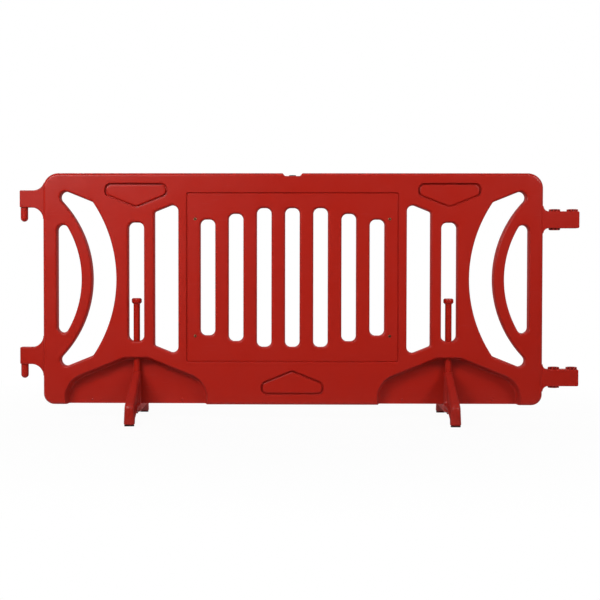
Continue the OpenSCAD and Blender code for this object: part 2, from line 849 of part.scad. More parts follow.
// Recessed side of the gusset, inside its raised rim.
function foot_pocket_outline() =
    let(
        front = foot_rim - foot_reach,
        back = -hub_diameter / 2 - foot_rim,
        slope = (foot_height - foot_toe_height) / (foot_reach - hub_diameter / 2),
        drop = foot_rim * sqrt(1 + slope * slope),
        top_front = foot_toe_height + foot_rim * slope - drop,
        top_back = foot_height - foot_rim * slope - drop,
        low_front = arch_spring_height + pad_thickness + foot_rim,
        low_back = front_arch_height + foot_rim
    )
    rounded(
        [[front, low_front], [-foot_reach / 2, low_back], [back, low_back], [back, top_back], [front, top_front]],
        [foot_edge_radius, foot_edge_radius, foot_edge_radius, foot_edge_radius, foot_edge_radius]);

module foot_taper() {
    low = foot_width / 2;
    high = foot_top_width / 2;
    upright(2 * (foot_reach + overrun))
        polygon([[-low, 0], [low, 0], [high, foot_height], [-high, foot_height]]);
}

module foot_plan() {
    linear_extrude(foot_height)
        polygon(rounded(
            [[-foot_width / 2, -foot_reach], [foot_width / 2, -foot_reach],
             [foot_width / 2, foot_reach], [-foot_width / 2, foot_reach]],
            [foot_edge_radius, foot_edge_radius, foot_edge_radius, foot_edge_radius]));
}

// Middle of a foot's bearing face; front is -1 and rear is 1.
function bearing_y(end) = end * (foot_reach - foot_bearing_length / 2);

module foot(x) {
    color(foot_red)
        translate([x, 0, 0])
            difference() {
                union() {
                    intersection() {
                        sideways(foot_width)
                            polygon(foot_side_outline());
                        foot_taper();
                        foot_plan();
                    }
                    rod(hub_diameter, hub_clearance, foot_height);
                }
                for (side = [-1, 1])
                    translate([side * (foot_web + foot_width) / 2, 0, 0])
                        sideways(foot_width)
                            polygon(foot_pocket_outline());
                rod(pin_diameter + 2 * running_gap, hub_floor_height, foot_height + overrun);
                rod(pin_tail_diameter + 2 * running_gap, -overrun, foot_height);
                for (end = [-1, 1])
                    translate([0, bearing_y(end), 0])
                        rod(pad_stem_diameter + 2 * seat_gap, 0, pad_thickness + pad_stem_length + seat_gap);
            }
}

module foot_pad(x, end) {
    length = foot_bearing_length - 2 * pad_margin;
    width = foot_width - 2 * pad_margin;
    corner = foot_edge_radius - pad_margin;
    color(rubber_black)
        translate([x, bearing_y(end), 0]) {
            linear_extrude(pad_thickness)
                polygon(box_outline(width, -length / 2, length / 2, corner));
            rod(pad_stem_diameter, pad_thickness, pad_thickness + pad_stem_length);
        }
}

// Foot pin: a plain rod with a bevelled head, and a thin tail with a groove for its retaining ring.
module foot_pin(x) {
    head = pin_head_diameter / 2;
    top = pin_head_height + pin_head_thickness;
    tail = pin_tail_diameter / 2;
    groove = tail - ring_groove_depth;
    shoulder = hub_floor_height + running_gap;
    ring_bottom = ring_top - ring_thickness;
    color(foot_red)
        translate([x, 0, 0])
            rotate_extrude($fn = round_facets)
                polygon([
                    [0, pin_foot], [groove, pin_foot], [tail, pin_foot + ring_groove_depth],
                    [tail, ring_bottom - seat_gap], [groove, ring_bottom - seat_gap], [groove, ring_top],
                    [tail, ring_top], [tail, shoulder], [pin_radius, shoulder],
                    [pin_radius, pin_head_height], [head - pin_head_bevel, pin_head_height],
                    [head, pin_head_height + pin_head_bevel],
                    [head, top - pin_head_bevel / 2], [head - pin_head_bevel / 2, top], [0, top]
                ]);
}

module pin_washer(x) {
    color(steel_grey)
        translate([x, 0, 0])
            difference() {
                rod(washer_diameter, ring_top, washer_top);
                rod(pin_tail_diameter + 2 * seat_gap, ring_top - overrun, washer_top + overrun);
            }
}

// Retaining ring, open on one side so that it snaps into the pin's groove.
module pin_ring(x) {
    inner = pin_tail_diameter - 2 * ring_groove_depth + 2 * seat_gap;
    bottom = ring_top - ring_thickness;
    color(steel_grey)
        translate([x, 0, 0])
            difference() {
                rod(ring_diameter, bottom, ring_top);
                rod(inner, bottom - overrun, ring_top + overrun);
                translate([-ring_gap / 2, 0, bottom - overrun])
                    cube([ring_gap, ring_diameter, ring_thickness + 2 * overrun]);
            }
}

module left_foot() { foot(left_pin_x); }
module left_front_pad() { foot_pad(left_pin_x, -1); }
module left_rear_pad() { foot_pad(left_pin_x, 1); }
module left_foot_pin() { foot_pin(left_pin_x); }
module left_pin_washer() { pin_washer(left_pin_x); }
module left_pin_ring() { pin_ring(left_pin_x); }
module right_foot() { foot(right_pin_x); }
module right_front_pad() { foot_pad(right_pin_x, -1); }
module right_rear_pad() { foot_pad(right_pin_x, 1); }
module right_foot_pin() { foot_pin(right_pin_x); }
module right_pin_washer() { pin_washer(right_pin_x); }
module right_pin_ring() { pin_ring(right_pin_x); }

panel_body();
top_plug();
sign_inserts();
upper_hook();
upper_hook_pin();
lower_hook();
lower_hook_pin();
upper_receiver();
upper_inner_top_bush();
upper_inner_bottom_bush();
upper_outer_bush();
lower_receiver();
lower_inner_top_bush();
lower_inner_bottom_bush();
lower_outer_bush();
left_foot();
left_front_pad();
left_rear_pad();
left_foot_pin();
left_pin_washer();
left_pin_ring();
right_foot();
right_front_pad();
right_rear_pad();
right_foot_pin();
right_pin_washer();
right_pin_ring();
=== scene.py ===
# %% [markdown]
# # A moulded pedestrian barrier panel
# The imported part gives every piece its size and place. This lesson turns the pieces into moulded plastic
# with rounded edges, parting lines and pressed fields, gives each a procedural finish, and sets the
# barrier in a bright studio. Lengths are written in millimetres and become metres where a mesh is made.

import math

import bmesh
import bpy
import numpy as np
from mathutils import Euler, Matrix, Vector
from mathutils.geometry import delaunay_2d_cdt


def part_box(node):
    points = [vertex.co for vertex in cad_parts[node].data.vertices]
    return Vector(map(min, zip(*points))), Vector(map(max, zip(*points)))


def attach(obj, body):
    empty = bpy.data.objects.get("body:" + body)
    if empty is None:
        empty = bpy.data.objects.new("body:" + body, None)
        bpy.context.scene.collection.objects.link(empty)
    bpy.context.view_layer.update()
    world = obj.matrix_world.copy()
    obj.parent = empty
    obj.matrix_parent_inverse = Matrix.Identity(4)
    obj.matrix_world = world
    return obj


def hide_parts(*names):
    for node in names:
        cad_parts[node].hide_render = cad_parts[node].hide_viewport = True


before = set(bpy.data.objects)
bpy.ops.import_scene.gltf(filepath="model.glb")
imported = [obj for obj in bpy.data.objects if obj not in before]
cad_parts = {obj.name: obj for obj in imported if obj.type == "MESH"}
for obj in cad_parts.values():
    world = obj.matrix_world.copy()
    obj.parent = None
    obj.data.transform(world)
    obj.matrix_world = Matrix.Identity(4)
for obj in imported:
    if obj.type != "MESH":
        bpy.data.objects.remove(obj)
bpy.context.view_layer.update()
scene = bpy.context.scene
MM = 0.001
SIDES, LEVELS = ("left", "right"), ("upper", "lower")

# %% [markdown]
# ## Camera
# The photograph is taken square on, from a little over half the panel's height and from about five metres
# away. The lens is set from the photograph's own perspective. The camera is turned a little to the left, since
# the panel's right end is slightly the taller one, and a small shift puts the panel where it stands in the
# frame.

# %% Camera at the photograph's place
CAMERA_DISTANCE = 4.8
CAMERA_HEIGHT = 0.554
CAMERA_X = -0.0254
IMAGE_PIXELS, FOCAL_PIXELS = 600, 1344
HORIZON_PIXELS, SHIFT_PIXELS = 35, 8.6
TURN_LEFT = math.radians(0.8)
ROLL = math.radians(0.066)

panel_low, panel_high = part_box("panel_body")
camera_data = bpy.data.cameras.new("photo_camera")
camera_data.sensor_width = 36
camera_data.lens = FOCAL_PIXELS * camera_data.sensor_width / IMAGE_PIXELS
camera_data.shift_x = (SHIFT_PIXELS + FOCAL_PIXELS * math.tan(TURN_LEFT)) / IMAGE_PIXELS
camera = bpy.data.objects.new("photo_camera", camera_data)
scene.collection.objects.link(camera)
pitch_down = math.atan(HORIZON_PIXELS / FOCAL_PIXELS)
facing = Euler((math.pi / 2 - pitch_down, 0, TURN_LEFT)).to_matrix() @ Matrix.Rotation(ROLL, 3, "Z")
stand = Matrix.Translation((CAMERA_X, panel_low.y - CAMERA_DISTANCE, CAMERA_HEIGHT))
camera.matrix_world = stand @ facing.to_4x4()
scene.camera = camera
print("lens", round(camera_data.lens, 2), "mm")

# %% [markdown]
# ## Node helpers
# Shader and geometry trees are both nodes and links, so two short helpers build either kind: one makes a
# node and fills in its sockets, the other makes a group with named sockets. The rest are the few steps that
# finishes are made of: a range that follows a value, a product, and blends of two values or two colours.

# %% Helpers for node trees
def add_node(tree, kind, inputs=(), **settings):
    """A node with its settings and its inputs, each a value or another node's output."""
    made = tree.nodes.new(kind)
    for name, value in settings.items():
        setattr(made, name, value)
    for name, value in dict(inputs).items():
        if isinstance(value, bpy.types.NodeSocket):
            tree.links.new(value, made.inputs[name])
        else:
            made.inputs[name].default_value = value
    return made


def new_group(name, kind, inputs, outputs):
    """A node group with named sockets. Inputs are (name, socket kind, first value)."""
    tree = bpy.data.node_groups.new(name, kind)
    for label, socket, value in inputs:
        made = tree.interface.new_socket(label, in_out="INPUT", socket_type=socket)
        if value is not None:
            made.default_value = value
    for label, socket in outputs:
        tree.interface.new_socket(label, in_out="OUTPUT", socket_type=socket)
    return tree, tree.nodes.new("NodeGroupInput"), tree.nodes.new("NodeGroupOutput")


def ramp(tree, value, start, stop, first=0.0, last=1.0):
    """A value that goes from first to last while another goes from start to stop."""
    return add_node(tree, "ShaderNodeMapRange", {
        "Value": value, "From Min": start, "From Max": stop, "To Min": first, "To Max": last}).outputs[0]


def product(tree, a, b):
    return add_node(tree, "ShaderNodeMath", {0: a, 1: b}, operation="MULTIPLY").outputs[0]


def larger(tree, a, b):
    return add_node(tree, "ShaderNodeMath", {0: a, 1: b}, operation="MAXIMUM").outputs[0]


def blend(tree, share, a, b):
    """A value that is a where the share is 0 and b where it is 1."""
    return add_node(tree, "ShaderNodeMix", {"Factor": share, "A": a, "B": b}).outputs[0]


def blend_colour(tree, share, a, b):
    """As blend, for colours, whose sockets are numbers 6, 7 and 2 of the same node."""
    return add_node(tree, "ShaderNodeMix", {"Factor": share, 6: a, 7: b}, data_type="RGBA").outputs[2]


def parts_of(tree, vector):
    """The X, Y and Z of a vector."""
    return add_node(tree, "ShaderNodeSeparateXYZ", {0: vector}).outputs


print("helpers ready")

# %% [markdown]
# ## Studio
# The photograph has a pure white ground with almost no shadow. The floor is pale paper, and for camera rays
# it is mostly replaced by plain white, as is the world, so the white costs the barrier no extra light and a
# faint shadow stays. Mirror rays see the white backdrop ahead, but the ceiling and the room behind the camera
# are darker, as in a real studio, so that the red isn't veiled by reflections. The two side lamps have narrow
# beams, so that each lights its own end and the feet throw their shadows inwards. Two lamps behind light the
# rear face, which the photograph doesn't show.

# %% World
AMBIENT = 0.28
WHITE = (1, 1, 1, 1)


def ray_kinds(tree):
    """Which rays come from the camera, and which from a mirror or through glass."""
    sight = add_node(tree, "ShaderNodeLightPath").outputs
    return sight["Is Camera Ray"], larger(tree, sight["Is Glossy Ray"], sight["Is Transmission Ray"])


world = bpy.data.worlds.new("studio")
world.use_nodes = True
scene.world = world
sky = world.node_tree
sky.nodes.clear()
camera_rays, mirror_rays = ray_kinds(sky)
ahead = parts_of(sky, add_node(sky, "ShaderNodeTexCoord").outputs["Generated"])
backdrop = ramp(sky, ahead["Y"], -0.5, 0.2, 0.04, 1.0)
ceiling = ramp(sky, ahead["Z"], 0.5, 0.8, 1.0, 0.06)
seen = blend(sky, mirror_rays, AMBIENT, product(sky, backdrop, ceiling))
glow = add_node(sky, "ShaderNodeBackground", {"Color": WHITE, "Strength": blend(sky, camera_rays, seen, 1.0)})
add_node(sky, "ShaderNodeOutputWorld", {"Surface": glow.outputs[0]})
print("world", world.name)

# %% Floor
FLOOR_PALE, FLOOR_REACH = 0.62, 40
NEAR_WHITE, WHITE_FROM, WHITE_FULLY = 0.96, 0.8, 2.0

floor_mesh = bpy.data.meshes.new("studio_floor")
floor_mesh.from_pydata([(FLOOR_REACH * x, FLOOR_REACH * y, 0) for x, y in ((-1, -1), (1, -1), (1, 1), (-1, 1))],
                       [], [(0, 1, 2, 3)])
floor = bpy.data.objects.new("studio_floor", floor_mesh)
scene.collection.objects.link(floor)
paper = bpy.data.materials.new("studio_paper")
paper.use_nodes = True
tree = paper.node_tree
tree.nodes.clear()
camera_rays, mirror_rays = ray_kinds(tree)
spot = add_node(tree, "ShaderNodeTexCoord").outputs["Object"]
distance = add_node(tree, "ShaderNodeVectorMath", {0: spot}, operation="LENGTH").outputs["Value"]
camera_share = product(tree, camera_rays, ramp(tree, distance, WHITE_FROM, WHITE_FULLY, NEAR_WHITE, 1.0))
sweep = ramp(tree, parts_of(tree, spot)["Y"], -0.4, 0.15, 0.05, 1.0)
matt = add_node(tree, "ShaderNodeBsdfDiffuse", {"Color": (FLOOR_PALE, FLOOR_PALE, FLOOR_PALE, 1)})
white = add_node(tree, "ShaderNodeEmission", {"Color": WHITE, "Strength": blend(tree, mirror_rays, 1.0, sweep)})
both = add_node(tree, "ShaderNodeMixShader", {
    0: larger(tree, camera_share, mirror_rays), 1: matt.outputs[0], 2: white.outputs[0]})
add_node(tree, "ShaderNodeOutputMaterial", {"Surface": both.outputs[0]})
floor_mesh.materials.append(paper)
print("floor", 2 * FLOOR_REACH, "m wide")


# %% Lamps
def softbox(name, place, aim, size, watts, beam=180):
    """A square soft lamp that faces a point, with a beam of a given width in degrees."""
    lamp = bpy.data.lights.new(name, "AREA")
    lamp.shape, lamp.size, lamp.energy, lamp.spread = "SQUARE", size, watts, math.radians(beam)
    made = bpy.data.objects.new(name, lamp)
    scene.collection.objects.link(made)
    place, aim = Vector(place), Vector(aim)
    made.matrix_world = Matrix.Translation(place) @ (aim - place).to_track_quat("-Z", "Y").to_matrix().to_4x4()


softbox("front_bank", (-1.5, -2.9, 2.15), (-0.2, 0, 0.5), 1.2, 47)
softbox("left_bank", (-2.4, -2.6, 2.2), (-0.7, 0, 0.75), 0.9, 4.1, 50)
softbox("right_bank", (2.4, -2.6, 2.2), (0.7, 0, 0.75), 0.9, 4.5, 50)
softbox("top_bank", (0, -0.5, 3.4), (0, 0, 0.4), 1.6, 10)
softbox("rear_left", (1.6, 3.2, 2.0), (0.2, 0, 0.4), 1.2, 34)
softbox("rear_right", (-1.6, 3.2, 2.0), (-0.2, 0, 0.4), 1.2, 34)
print("lamps", [lamp.name for lamp in bpy.data.lights])

# %% [markdown]
# ## Finishes that materials share
# Moulded polyethylene is never one flat colour. It has a fine spark-eroded grain, slow waves where the
# wall sank as it cooled, pigment that drifts a little, pale rub marks, and dust near the ground. The walls of
# its windows keep the matt texture of the mould, while hands have polished the top edge. Each of these is a
# shader group with its own named inputs, so every plastic on the barrier can use it with its own values.
# All of them read Object coordinates, because the pieces have no UV maps.

# %% Grain of the mould
FLOAT, COLOUR = "NodeSocketFloat", "NodeSocketColor"
HANDLED_FROM, HANDLED_FULLY = 0.84, 0.87


def finish_group(name, inputs, outputs):
    tree, given, result = new_group(name, "ShaderNodeTree", inputs, outputs)
    where = add_node(tree, "ShaderNodeTexCoord").outputs["Object"]
    return tree, given.outputs, result.inputs, where


def noise(tree, where, scale, detail):
    return add_node(tree, "ShaderNodeTexNoise", {"Vector": where, "Scale": scale, "Detail": detail}).outputs[0]


grain, given, result, where = finish_group(
    "moulded_grain",
    [("Grain Size", FLOAT, 900.0), ("Wave Share", FLOAT, 0.5), ("Smooth", FLOAT, 0.38), ("Rough", FLOAT, 0.52),
     ("Wall Rough", FLOAT, 0.8)],
    [("Height", FLOAT), ("Roughness", FLOAT)])
fine = noise(grain, where, given["Grain Size"], 2.0)
waves = noise(grain, where, 7.0, 1.0)
patches = noise(grain, where, 16.0, 2.0)
rough = ramp(grain, patches, 0.3, 0.7, given["Smooth"], given["Rough"])
facing = parts_of(grain, where.node.outputs["Normal"])
to_face = add_node(grain, "ShaderNodeMath", {0: facing["Y"]}, operation="ABSOLUTE").outputs[0]
wall = ramp(grain, to_face, 0.3, 0.7, 1.0, 0.0)
handled = ramp(grain, parts_of(grain, where)["Z"], HANDLED_FROM, HANDLED_FULLY)
polished = ramp(grain, facing["Z"], 0.2, 0.5, 1.0, 0.35)
matt_share = product(grain, wall, blend(grain, handled, 1.0, polished))
grain.links.new(blend(grain, given["Wave Share"], fine, waves), result["Height"])
grain.links.new(blend(grain, matt_share, rough, given["Wall Rough"]), result["Roughness"])
print("group", grain.name)

# %% Pigment, rub marks and dust
drift, given, result, where = finish_group(
    "pigment_drift", [("Colour", COLOUR, WHITE), ("Faded", COLOUR, WHITE), ("Amount", FLOAT, 0.5)],
    [("Colour", COLOUR)])
clouds = product(drift, noise(drift, where, 3.2, 4.0), given["Amount"])
drift.links.new(blend_colour(drift, clouds, given["Colour"], given["Faded"]), result["Colour"])

rubs, given, result, where = finish_group(
    "rub_marks", [("Length", FLOAT, 14.0), ("Fineness", FLOAT, 260.0), ("Cover", FLOAT, 0.3)], [("Mask", FLOAT)])
stretch = add_node(rubs, "ShaderNodeCombineXYZ", {
    0: given["Length"], 1: given["Fineness"], 2: given["Fineness"]}).outputs[0]
along = add_node(rubs, "ShaderNodeVectorMath", {0: where, 1: stretch}, operation="MULTIPLY").outputs[0]
lines = ramp(rubs, noise(rubs, along, 1.0, 3.0), 0.62, 0.74)
zones = ramp(rubs, noise(rubs, where, 5.0, 2.0), 0.48, 0.7)
rubs.links.new(product(rubs, product(rubs, lines, zones), given["Cover"]), result["Mask"])

dust, given, result, where = finish_group(
    "ground_dust", [("Reach", FLOAT, 0.12), ("Cover", FLOAT, 0.25)], [("Mask", FLOAT)])
low_share = ramp(dust, parts_of(dust, where)["Z"], 0.0, given["Reach"], 1.0, 0.0)
specks = product(dust, low_share, noise(dust, where, 60.0, 6.0))
dust.links.new(product(dust, specks, given["Cover"]), result["Mask"])
print("finish groups", [g.name for g in bpy.data.node_groups])

# %% [markdown]
# ## Materials
# The panel, hooks, receivers and feet are the same red plastic from different moulds, so they differ a
# little in shade and gloss. The plug is dark grey plastic, the fixings are dull brass, the washers and
# rings are zinc-plated steel and the pads are black rubber that has taken on some red. The Principled shader
# stays in each material and takes only its plain numbers directly.

# %% Plastic and metal
DUST = (0.34, 0.29, 0.25, 1)
RUB_KEEPS, RUB_LIFTS = 0.55, 0.25


def new_finish(name, pigment_values, grain_values):
    """A material with its pigment and grain groups, and its tree and shader."""
    made = bpy.data.materials.new(name)
    made.use_nodes = True
    tree = made.node_tree
    pigment = add_node(tree, "ShaderNodeGroup", pigment_values, node_tree=drift).outputs[0]
    surface = add_node(tree, "ShaderNodeGroup", grain_values, node_tree=grain).outputs
    return made, tree, tree.nodes["Principled BSDF"], pigment, surface


def dress(tree, shader, colour, surface, strength, depth):
    """Links a colour and a grained surface to the shader, with the grain as bump too."""
    bump = add_node(tree, "ShaderNodeBump", {"Strength": strength, "Distance": depth, "Height": surface["Height"]})
    tree.links.new(colour, shader.inputs["Base Color"])
    tree.links.new(surface["Roughness"], shader.inputs["Roughness"])
    tree.links.new(bump.outputs[0], shader.inputs["Normal"])


def moulded_plastic(name, colour, faded, grain_size, roughness, specular, depth=0.0001, rub=0.06, dusty=0.0):
    made, tree, shader, pigment, surface = new_finish(
        name, {"Colour": (*colour, 1), "Faded": (*faded, 1)},
        {"Grain Size": grain_size, "Smooth": roughness[0], "Rough": roughness[1]})
    shader.inputs["Specular IOR Level"].default_value = specular
    marks = add_node(tree, "ShaderNodeGroup", {"Cover": rub}, node_tree=rubs).outputs[0]
    film = add_node(tree, "ShaderNodeGroup", {"Cover": dusty}, node_tree=dust).outputs[0]
    pale = (*[min(1, RUB_KEEPS * c + RUB_LIFTS) for c in colour], 1)
    rubbed = blend_colour(tree, marks, pigment, pale)
    dress(tree, shader, blend_colour(tree, film, rubbed, DUST), surface, strength=0.25, depth=depth)
    return made


def worn_metal(name, colour, tarnish, smooth_part, rough_part):
    made, tree, shader, pigment, surface = new_finish(
        name, {"Colour": (*colour, 1), "Faded": (*tarnish, 1), "Amount": 0.9},
        {"Grain Size": 2600.0, "Wave Share": 0.1, "Smooth": smooth_part, "Rough": rough_part,
         "Wall Rough": rough_part})
    shader.inputs["Metallic"].default_value = 1.0
    dress(tree, shader, pigment, surface, strength=0.3, depth=0.0002)
    return made


print("dust colour", DUST[:3])

# %% All materials
panel_plastic = moulded_plastic(
    "panel_red", (0.385, 0.0085, 0.002), (0.40, 0.012, 0.005), 900.0, (0.31, 0.37), 0.27, dusty=0.05)
foot_plastic = moulded_plastic(
    "foot_red", (0.355, 0.007, 0.0015), (0.37, 0.010, 0.004), 700.0, (0.3, 0.38), 0.27, dusty=0.06)
pin_plastic = moulded_plastic(
    "pin_red", (0.37, 0.008, 0.002), (0.39, 0.012, 0.005), 1200.0, (0.18, 0.24), 0.5)
bush_plastic = moulded_plastic(
    "bush_red", (0.40, 0.013, 0.007), (0.42, 0.02, 0.012), 1200.0, (0.24, 0.34), 0.5, depth=0.0002, rub=0.12)
# A dark red for the collar wall between the ribs, which paints the shade of the grooves.
groove_painted_shade = moulded_plastic(
    "bush_groove", (0.17, 0.006, 0.003), (0.20, 0.012, 0.008), 1200.0, (0.6, 0.8), 0.2, depth=0.0002, rub=0.0)
plug_plastic = moulded_plastic(
    "plug_grey", (0.035, 0.03, 0.03), (0.06, 0.055, 0.055), 1500.0, (0.45, 0.6), 0.4, depth=0.0005, rub=0.2)
pad_rubber = moulded_plastic(
    "pad_rubber", (0.035, 0.008, 0.007), (0.05, 0.014, 0.012), 1600.0, (0.7, 0.9), 0.2, depth=0.0006, rub=0.1,
    dusty=0.1)
insert_brass = worn_metal("insert_brass", (0.52, 0.38, 0.2), (0.3, 0.2, 0.11), 0.28, 0.45)
zinc_steel = worn_metal("zinc_steel", (0.62, 0.63, 0.65), (0.45, 0.45, 0.46), 0.25, 0.42)
print("materials", [m.name for m in bpy.data.materials if m.use_nodes])

# %% [markdown]
# ## Outlines
# Everything flat on the panel is an outline with rounded corners, drawn anticlockwise in millimetres. An
# outline can be grown or shrunk without changing its number of points, so a moulded edge is a stack of
# grown outlines, each a little deeper than the last. That gives clean rounded edges where a bevel would
# have to guess.

# %% Outline helpers
CORNER_STEPS = 9
SWEEP_STEPS = 44


def towards(degrees):
    """The unit vector in a direction."""
    return np.array([math.cos(math.radians(degrees)), math.sin(math.radians(degrees))])


def quarter(steps):
    """The angles of a quarter turn in equal steps."""
    return np.radians(np.linspace(0, 90, steps + 1))


def arc(centre, radius, start, stop, steps):
    turn = np.radians(np.linspace(start, stop, steps + 1))
    return np.column_stack((centre[0] + radius * np.cos(turn), centre[1] + radius * np.sin(turn)))


def unit(v):
    return v / np.linalg.norm(v)


def rounded(corners, radii, steps=CORNER_STEPS):
    """An outline through corners, each rounded by an arc that touches both of its sides."""
    corners, found = np.array(corners, float), []
    for i, radius in enumerate(radii):
        corner = corners[i]
        if radius == 0:
            found.append([corner])
            continue
        back, on = unit(corners[i - 1] - corner), unit(corners[(i + 1) % len(corners)] - corner)
        half = math.acos(np.clip(back @ on, -1, 1)) / 2
        centre = corner + unit(back + on) * radius / math.sin(half)
        first = corner + back * radius / math.tan(half) - centre
        turn = math.copysign(180 - 2 * math.degrees(half), on[0] * back[1] - on[1] * back[0])
        start = math.degrees(math.atan2(first[1], first[0]))
        found.append(arc(centre, radius, start, start + turn, steps))
    return np.vstack(found)


def grown(points, distance):
    """The outline moved outwards by a distance, or inwards by a negative one, alike or point by point."""
    side = np.roll(points, -1, 0) - points
    out = np.column_stack((side[:, 1], -side[:, 0])) / np.linalg.norm(side, axis=1)[:, None]
    before = np.roll(out, 1, 0)
    return points + (before + out) * (distance / (1 + (before * out).sum(1)))[:, None]


def mirrored(points):
    return (points * (-1, 1))[::-1]


def box_outline(width, bottom, top, radius):
    half = width / 2
    return rounded([(-half, bottom), (half, bottom), (half, top), (-half, top)], [radius] * 4)


print("a rounded square has", len(box_outline(10, 0, 10, 2)), "points")

# %% [markdown]
# ## Shells
# A shell collects rings of points and joins them by walls. Flat areas between rings are filled with a
# constrained triangulation, which copes with any number of windows. `moulded_plate` makes a whole moulded
# plate this way: every edge is rounded, leans back a little from the parting line in the middle, and ends
# in that line's fine ridge; fields are pressed into both faces.

# %% Flat areas
def inside(loop, spots):
    """Which spots lie inside a loop, by counting the sides that a line from each spot crosses."""
    a, b = loop, np.roll(loop, -1, 0)
    x, z = spots[:, :1], spots[:, 1:]
    crosses = (a[:, 1] > z) != (b[:, 1] > z)
    rise = np.where(crosses, b[:, 1] - a[:, 1], 1)
    return ((crosses & (x < (b[:, 0] - a[:, 0]) * (z - a[:, 1]) / rise + a[:, 0])).sum(1) % 2) == 1


def fill(loops):
    """Triangles between the first loop and the others, which are holes in it."""
    points, sides, start = np.vstack(loops), [], 0
    for loop in loops:
        count = len(loop)
        sides += [(start + i, start + (i + 1) % count) for i in range(count)]
        start += count
    found, _, triangles, origin, _, _ = delaunay_2d_cdt([Vector(p) for p in points], sides, [], 0, 1e-6)
    found = np.array([tuple(p) for p in found])
    triangles = np.array([tuple(t) for t in triangles])
    middles = found[triangles].mean(1)
    keep = inside(loops[0], middles)
    for loop in loops[1:]:
        keep &= ~inside(loop, middles)
    return [[origin[i][0] for i in t] for t in triangles[keep]]


print("a square fills with", len(fill([box_outline(10, 0, 10, 0)])), "triangles")

# %% Shell and plate
EDGE_STEPS = 5
SEAM_RISE = 0.5
SEAM_WIDTH = 0.9


class Shell:
    """Rings of points, (x, depth, z), and the faces between them."""

    def __init__(self):
        self.points, self.faces = [], []

    def add(self, points, faces):
        start = len(self.points)
        self.points += points
        self.faces += [[start + i for i in face] for face in faces]

    def ring(self, outline, depth):
        start = len(self.points)
        self.points += [(x, depth, z) for x, z in outline]
        return range(start, len(self.points))

    def wall(self, near, far):
        count = len(near)
        for i in range(count):
            j = (i + 1) % count
            self.faces.append((near[i], far[i], far[j], near[j]))

    def cap(self, rings, back):
        places = [i for ring in rings for i in ring]
        flat = [np.array([(self.points[i][0], self.points[i][2]) for i in ring]) for ring in rings]
        for triangle in fill(flat):
            corners = [places[i] for i in triangle]
            self.faces.append(corners[::-1] if back else corners)


def mouth(radius, steps):
    """(inset, depth) of an edge that is rounded from the face to the wall."""
    return [(radius * (1 - math.sin(t)), radius * (1 - math.cos(t))) for t in quarter(steps)]


def edge_rings(half, floor, radius, lean):
    """(inset, depth) of a moulded edge from the front face, past the parting line, to the back face."""
    front = [(lean + inset, floor + depth) for inset, depth in mouth(radius, EDGE_STEPS)]
    front += [(SEAM_RISE, half - SEAM_WIDTH), (0.0, half)]
    return front + [(inset, 2 * half - depth) for inset, depth in front[-2::-1]]


def moulded_plate(outline, half, rim, radius, lean, windows=(), fields=(), ease=1.0):
    """A plate with rounded edges: rim is the outside radius, times ease, and radius is that of the windows.
    A field is (outline, steps, windows in it)."""
    shell = Shell()

    def edge(line, floor, solid_inside):
        side, round_by = (-ease, rim) if solid_inside else (1, radius)
        rings = [shell.ring(grown(line, side * inset), depth)
                 for inset, depth in edge_rings(half, floor, round_by, lean)]
        for near, far in zip(rings, rings[1:]):
            shell.wall(near, far) if solid_inside else shell.wall(far, near)
        return rings[0], rings[-1]

    outer = edge(outline, 0, True)
    holes = [edge(window, 0, False) for window in windows]
    for line, steps, inner in fields:
        inner = [edge(window, steps[-1][1], False) for window in inner]
        rims = []
        for back in (0, 1):
            rings = [shell.ring(grown(line, out), 2 * half - deep if back else deep) for out, deep in steps]
            for near, far in zip(rings, rings[1:]):
                shell.wall(near, far) if back else shell.wall(far, near)
            shell.cap([rings[-1]] + [hole[back] for hole in inner], back)
            rims.append(rings[0])
        holes.append(rims)
    for back in (0, 1):
        shell.cap([outer[back]] + [hole[back] for hole in holes], back)
    return shell


def pressed_steps(depth, width, groove):
    """(offset, depth) of a pressed field: a rounded rim, a narrow channel all round and the floor inside it."""
    bottom = depth + groove
    return [(0.55 * width, 0.0), (0.32 * width, 0.4), (0.22 * width, 1.5), (0.15 * width, bottom - 1.0),
            (0.0, bottom), (-0.35 * width, bottom), (-0.5 * width, bottom - 1.0), (-0.58 * width, depth + 0.9),
            (-0.72 * width, depth + 0.2), (-width, depth)]


print("an edge has", len(edge_rings(28, 0, 7, 1)), "rings")

# %% [markdown]
# ## Mesh helpers
# A finished piece is a plain mesh with its place in its vertices. Boolean cuts and weighted normals are
# modifiers, so `settle` evaluates them and keeps only the result.

# %% Objects, cuts and smooth shading
def new_object(name, points, faces, material):
    mesh = bpy.data.meshes.new(name)
    mesh.from_pydata([tuple(p) for p in points], [], [tuple(f) for f in faces])
    mesh.materials.append(material)
    mesh.update()
    made = bpy.data.objects.new(name, mesh)
    scene.collection.objects.link(made)
    return made


def settle(obj):
    """Keeps the mesh that the modifiers give, and drops the modifiers."""
    bpy.context.view_layer.update()
    seen = obj.evaluated_get(bpy.context.evaluated_depsgraph_get())
    old, obj.data = obj.data, bpy.data.meshes.new_from_object(seen)
    obj.modifiers.clear()
    bpy.data.meshes.remove(old)
    obj.data.name = obj.name
    return obj


def combine(obj, tool, operation="DIFFERENCE"):
    """Cuts a tool out of an object, or adds it, and removes the tool."""
    cut = obj.modifiers.new("cut", "BOOLEAN")
    cut.operation, cut.solver, cut.object = operation, "EXACT", tool
    settle(obj)
    bpy.data.objects.remove(tool)
    return obj


def smooth(obj, angle=38):
    """Smooth shading that keeps flat faces flat and edges sharper than the angle crisp."""
    obj.data.shade_smooth()
    obj.data.set_sharp_from_angle(angle=math.radians(angle))
    weigh = obj.modifiers.new("weigh", "WEIGHTED_NORMAL")
    weigh.mode, weigh.weight, weigh.keep_sharp = "FACE_AREA", 90, True
    return settle(obj)


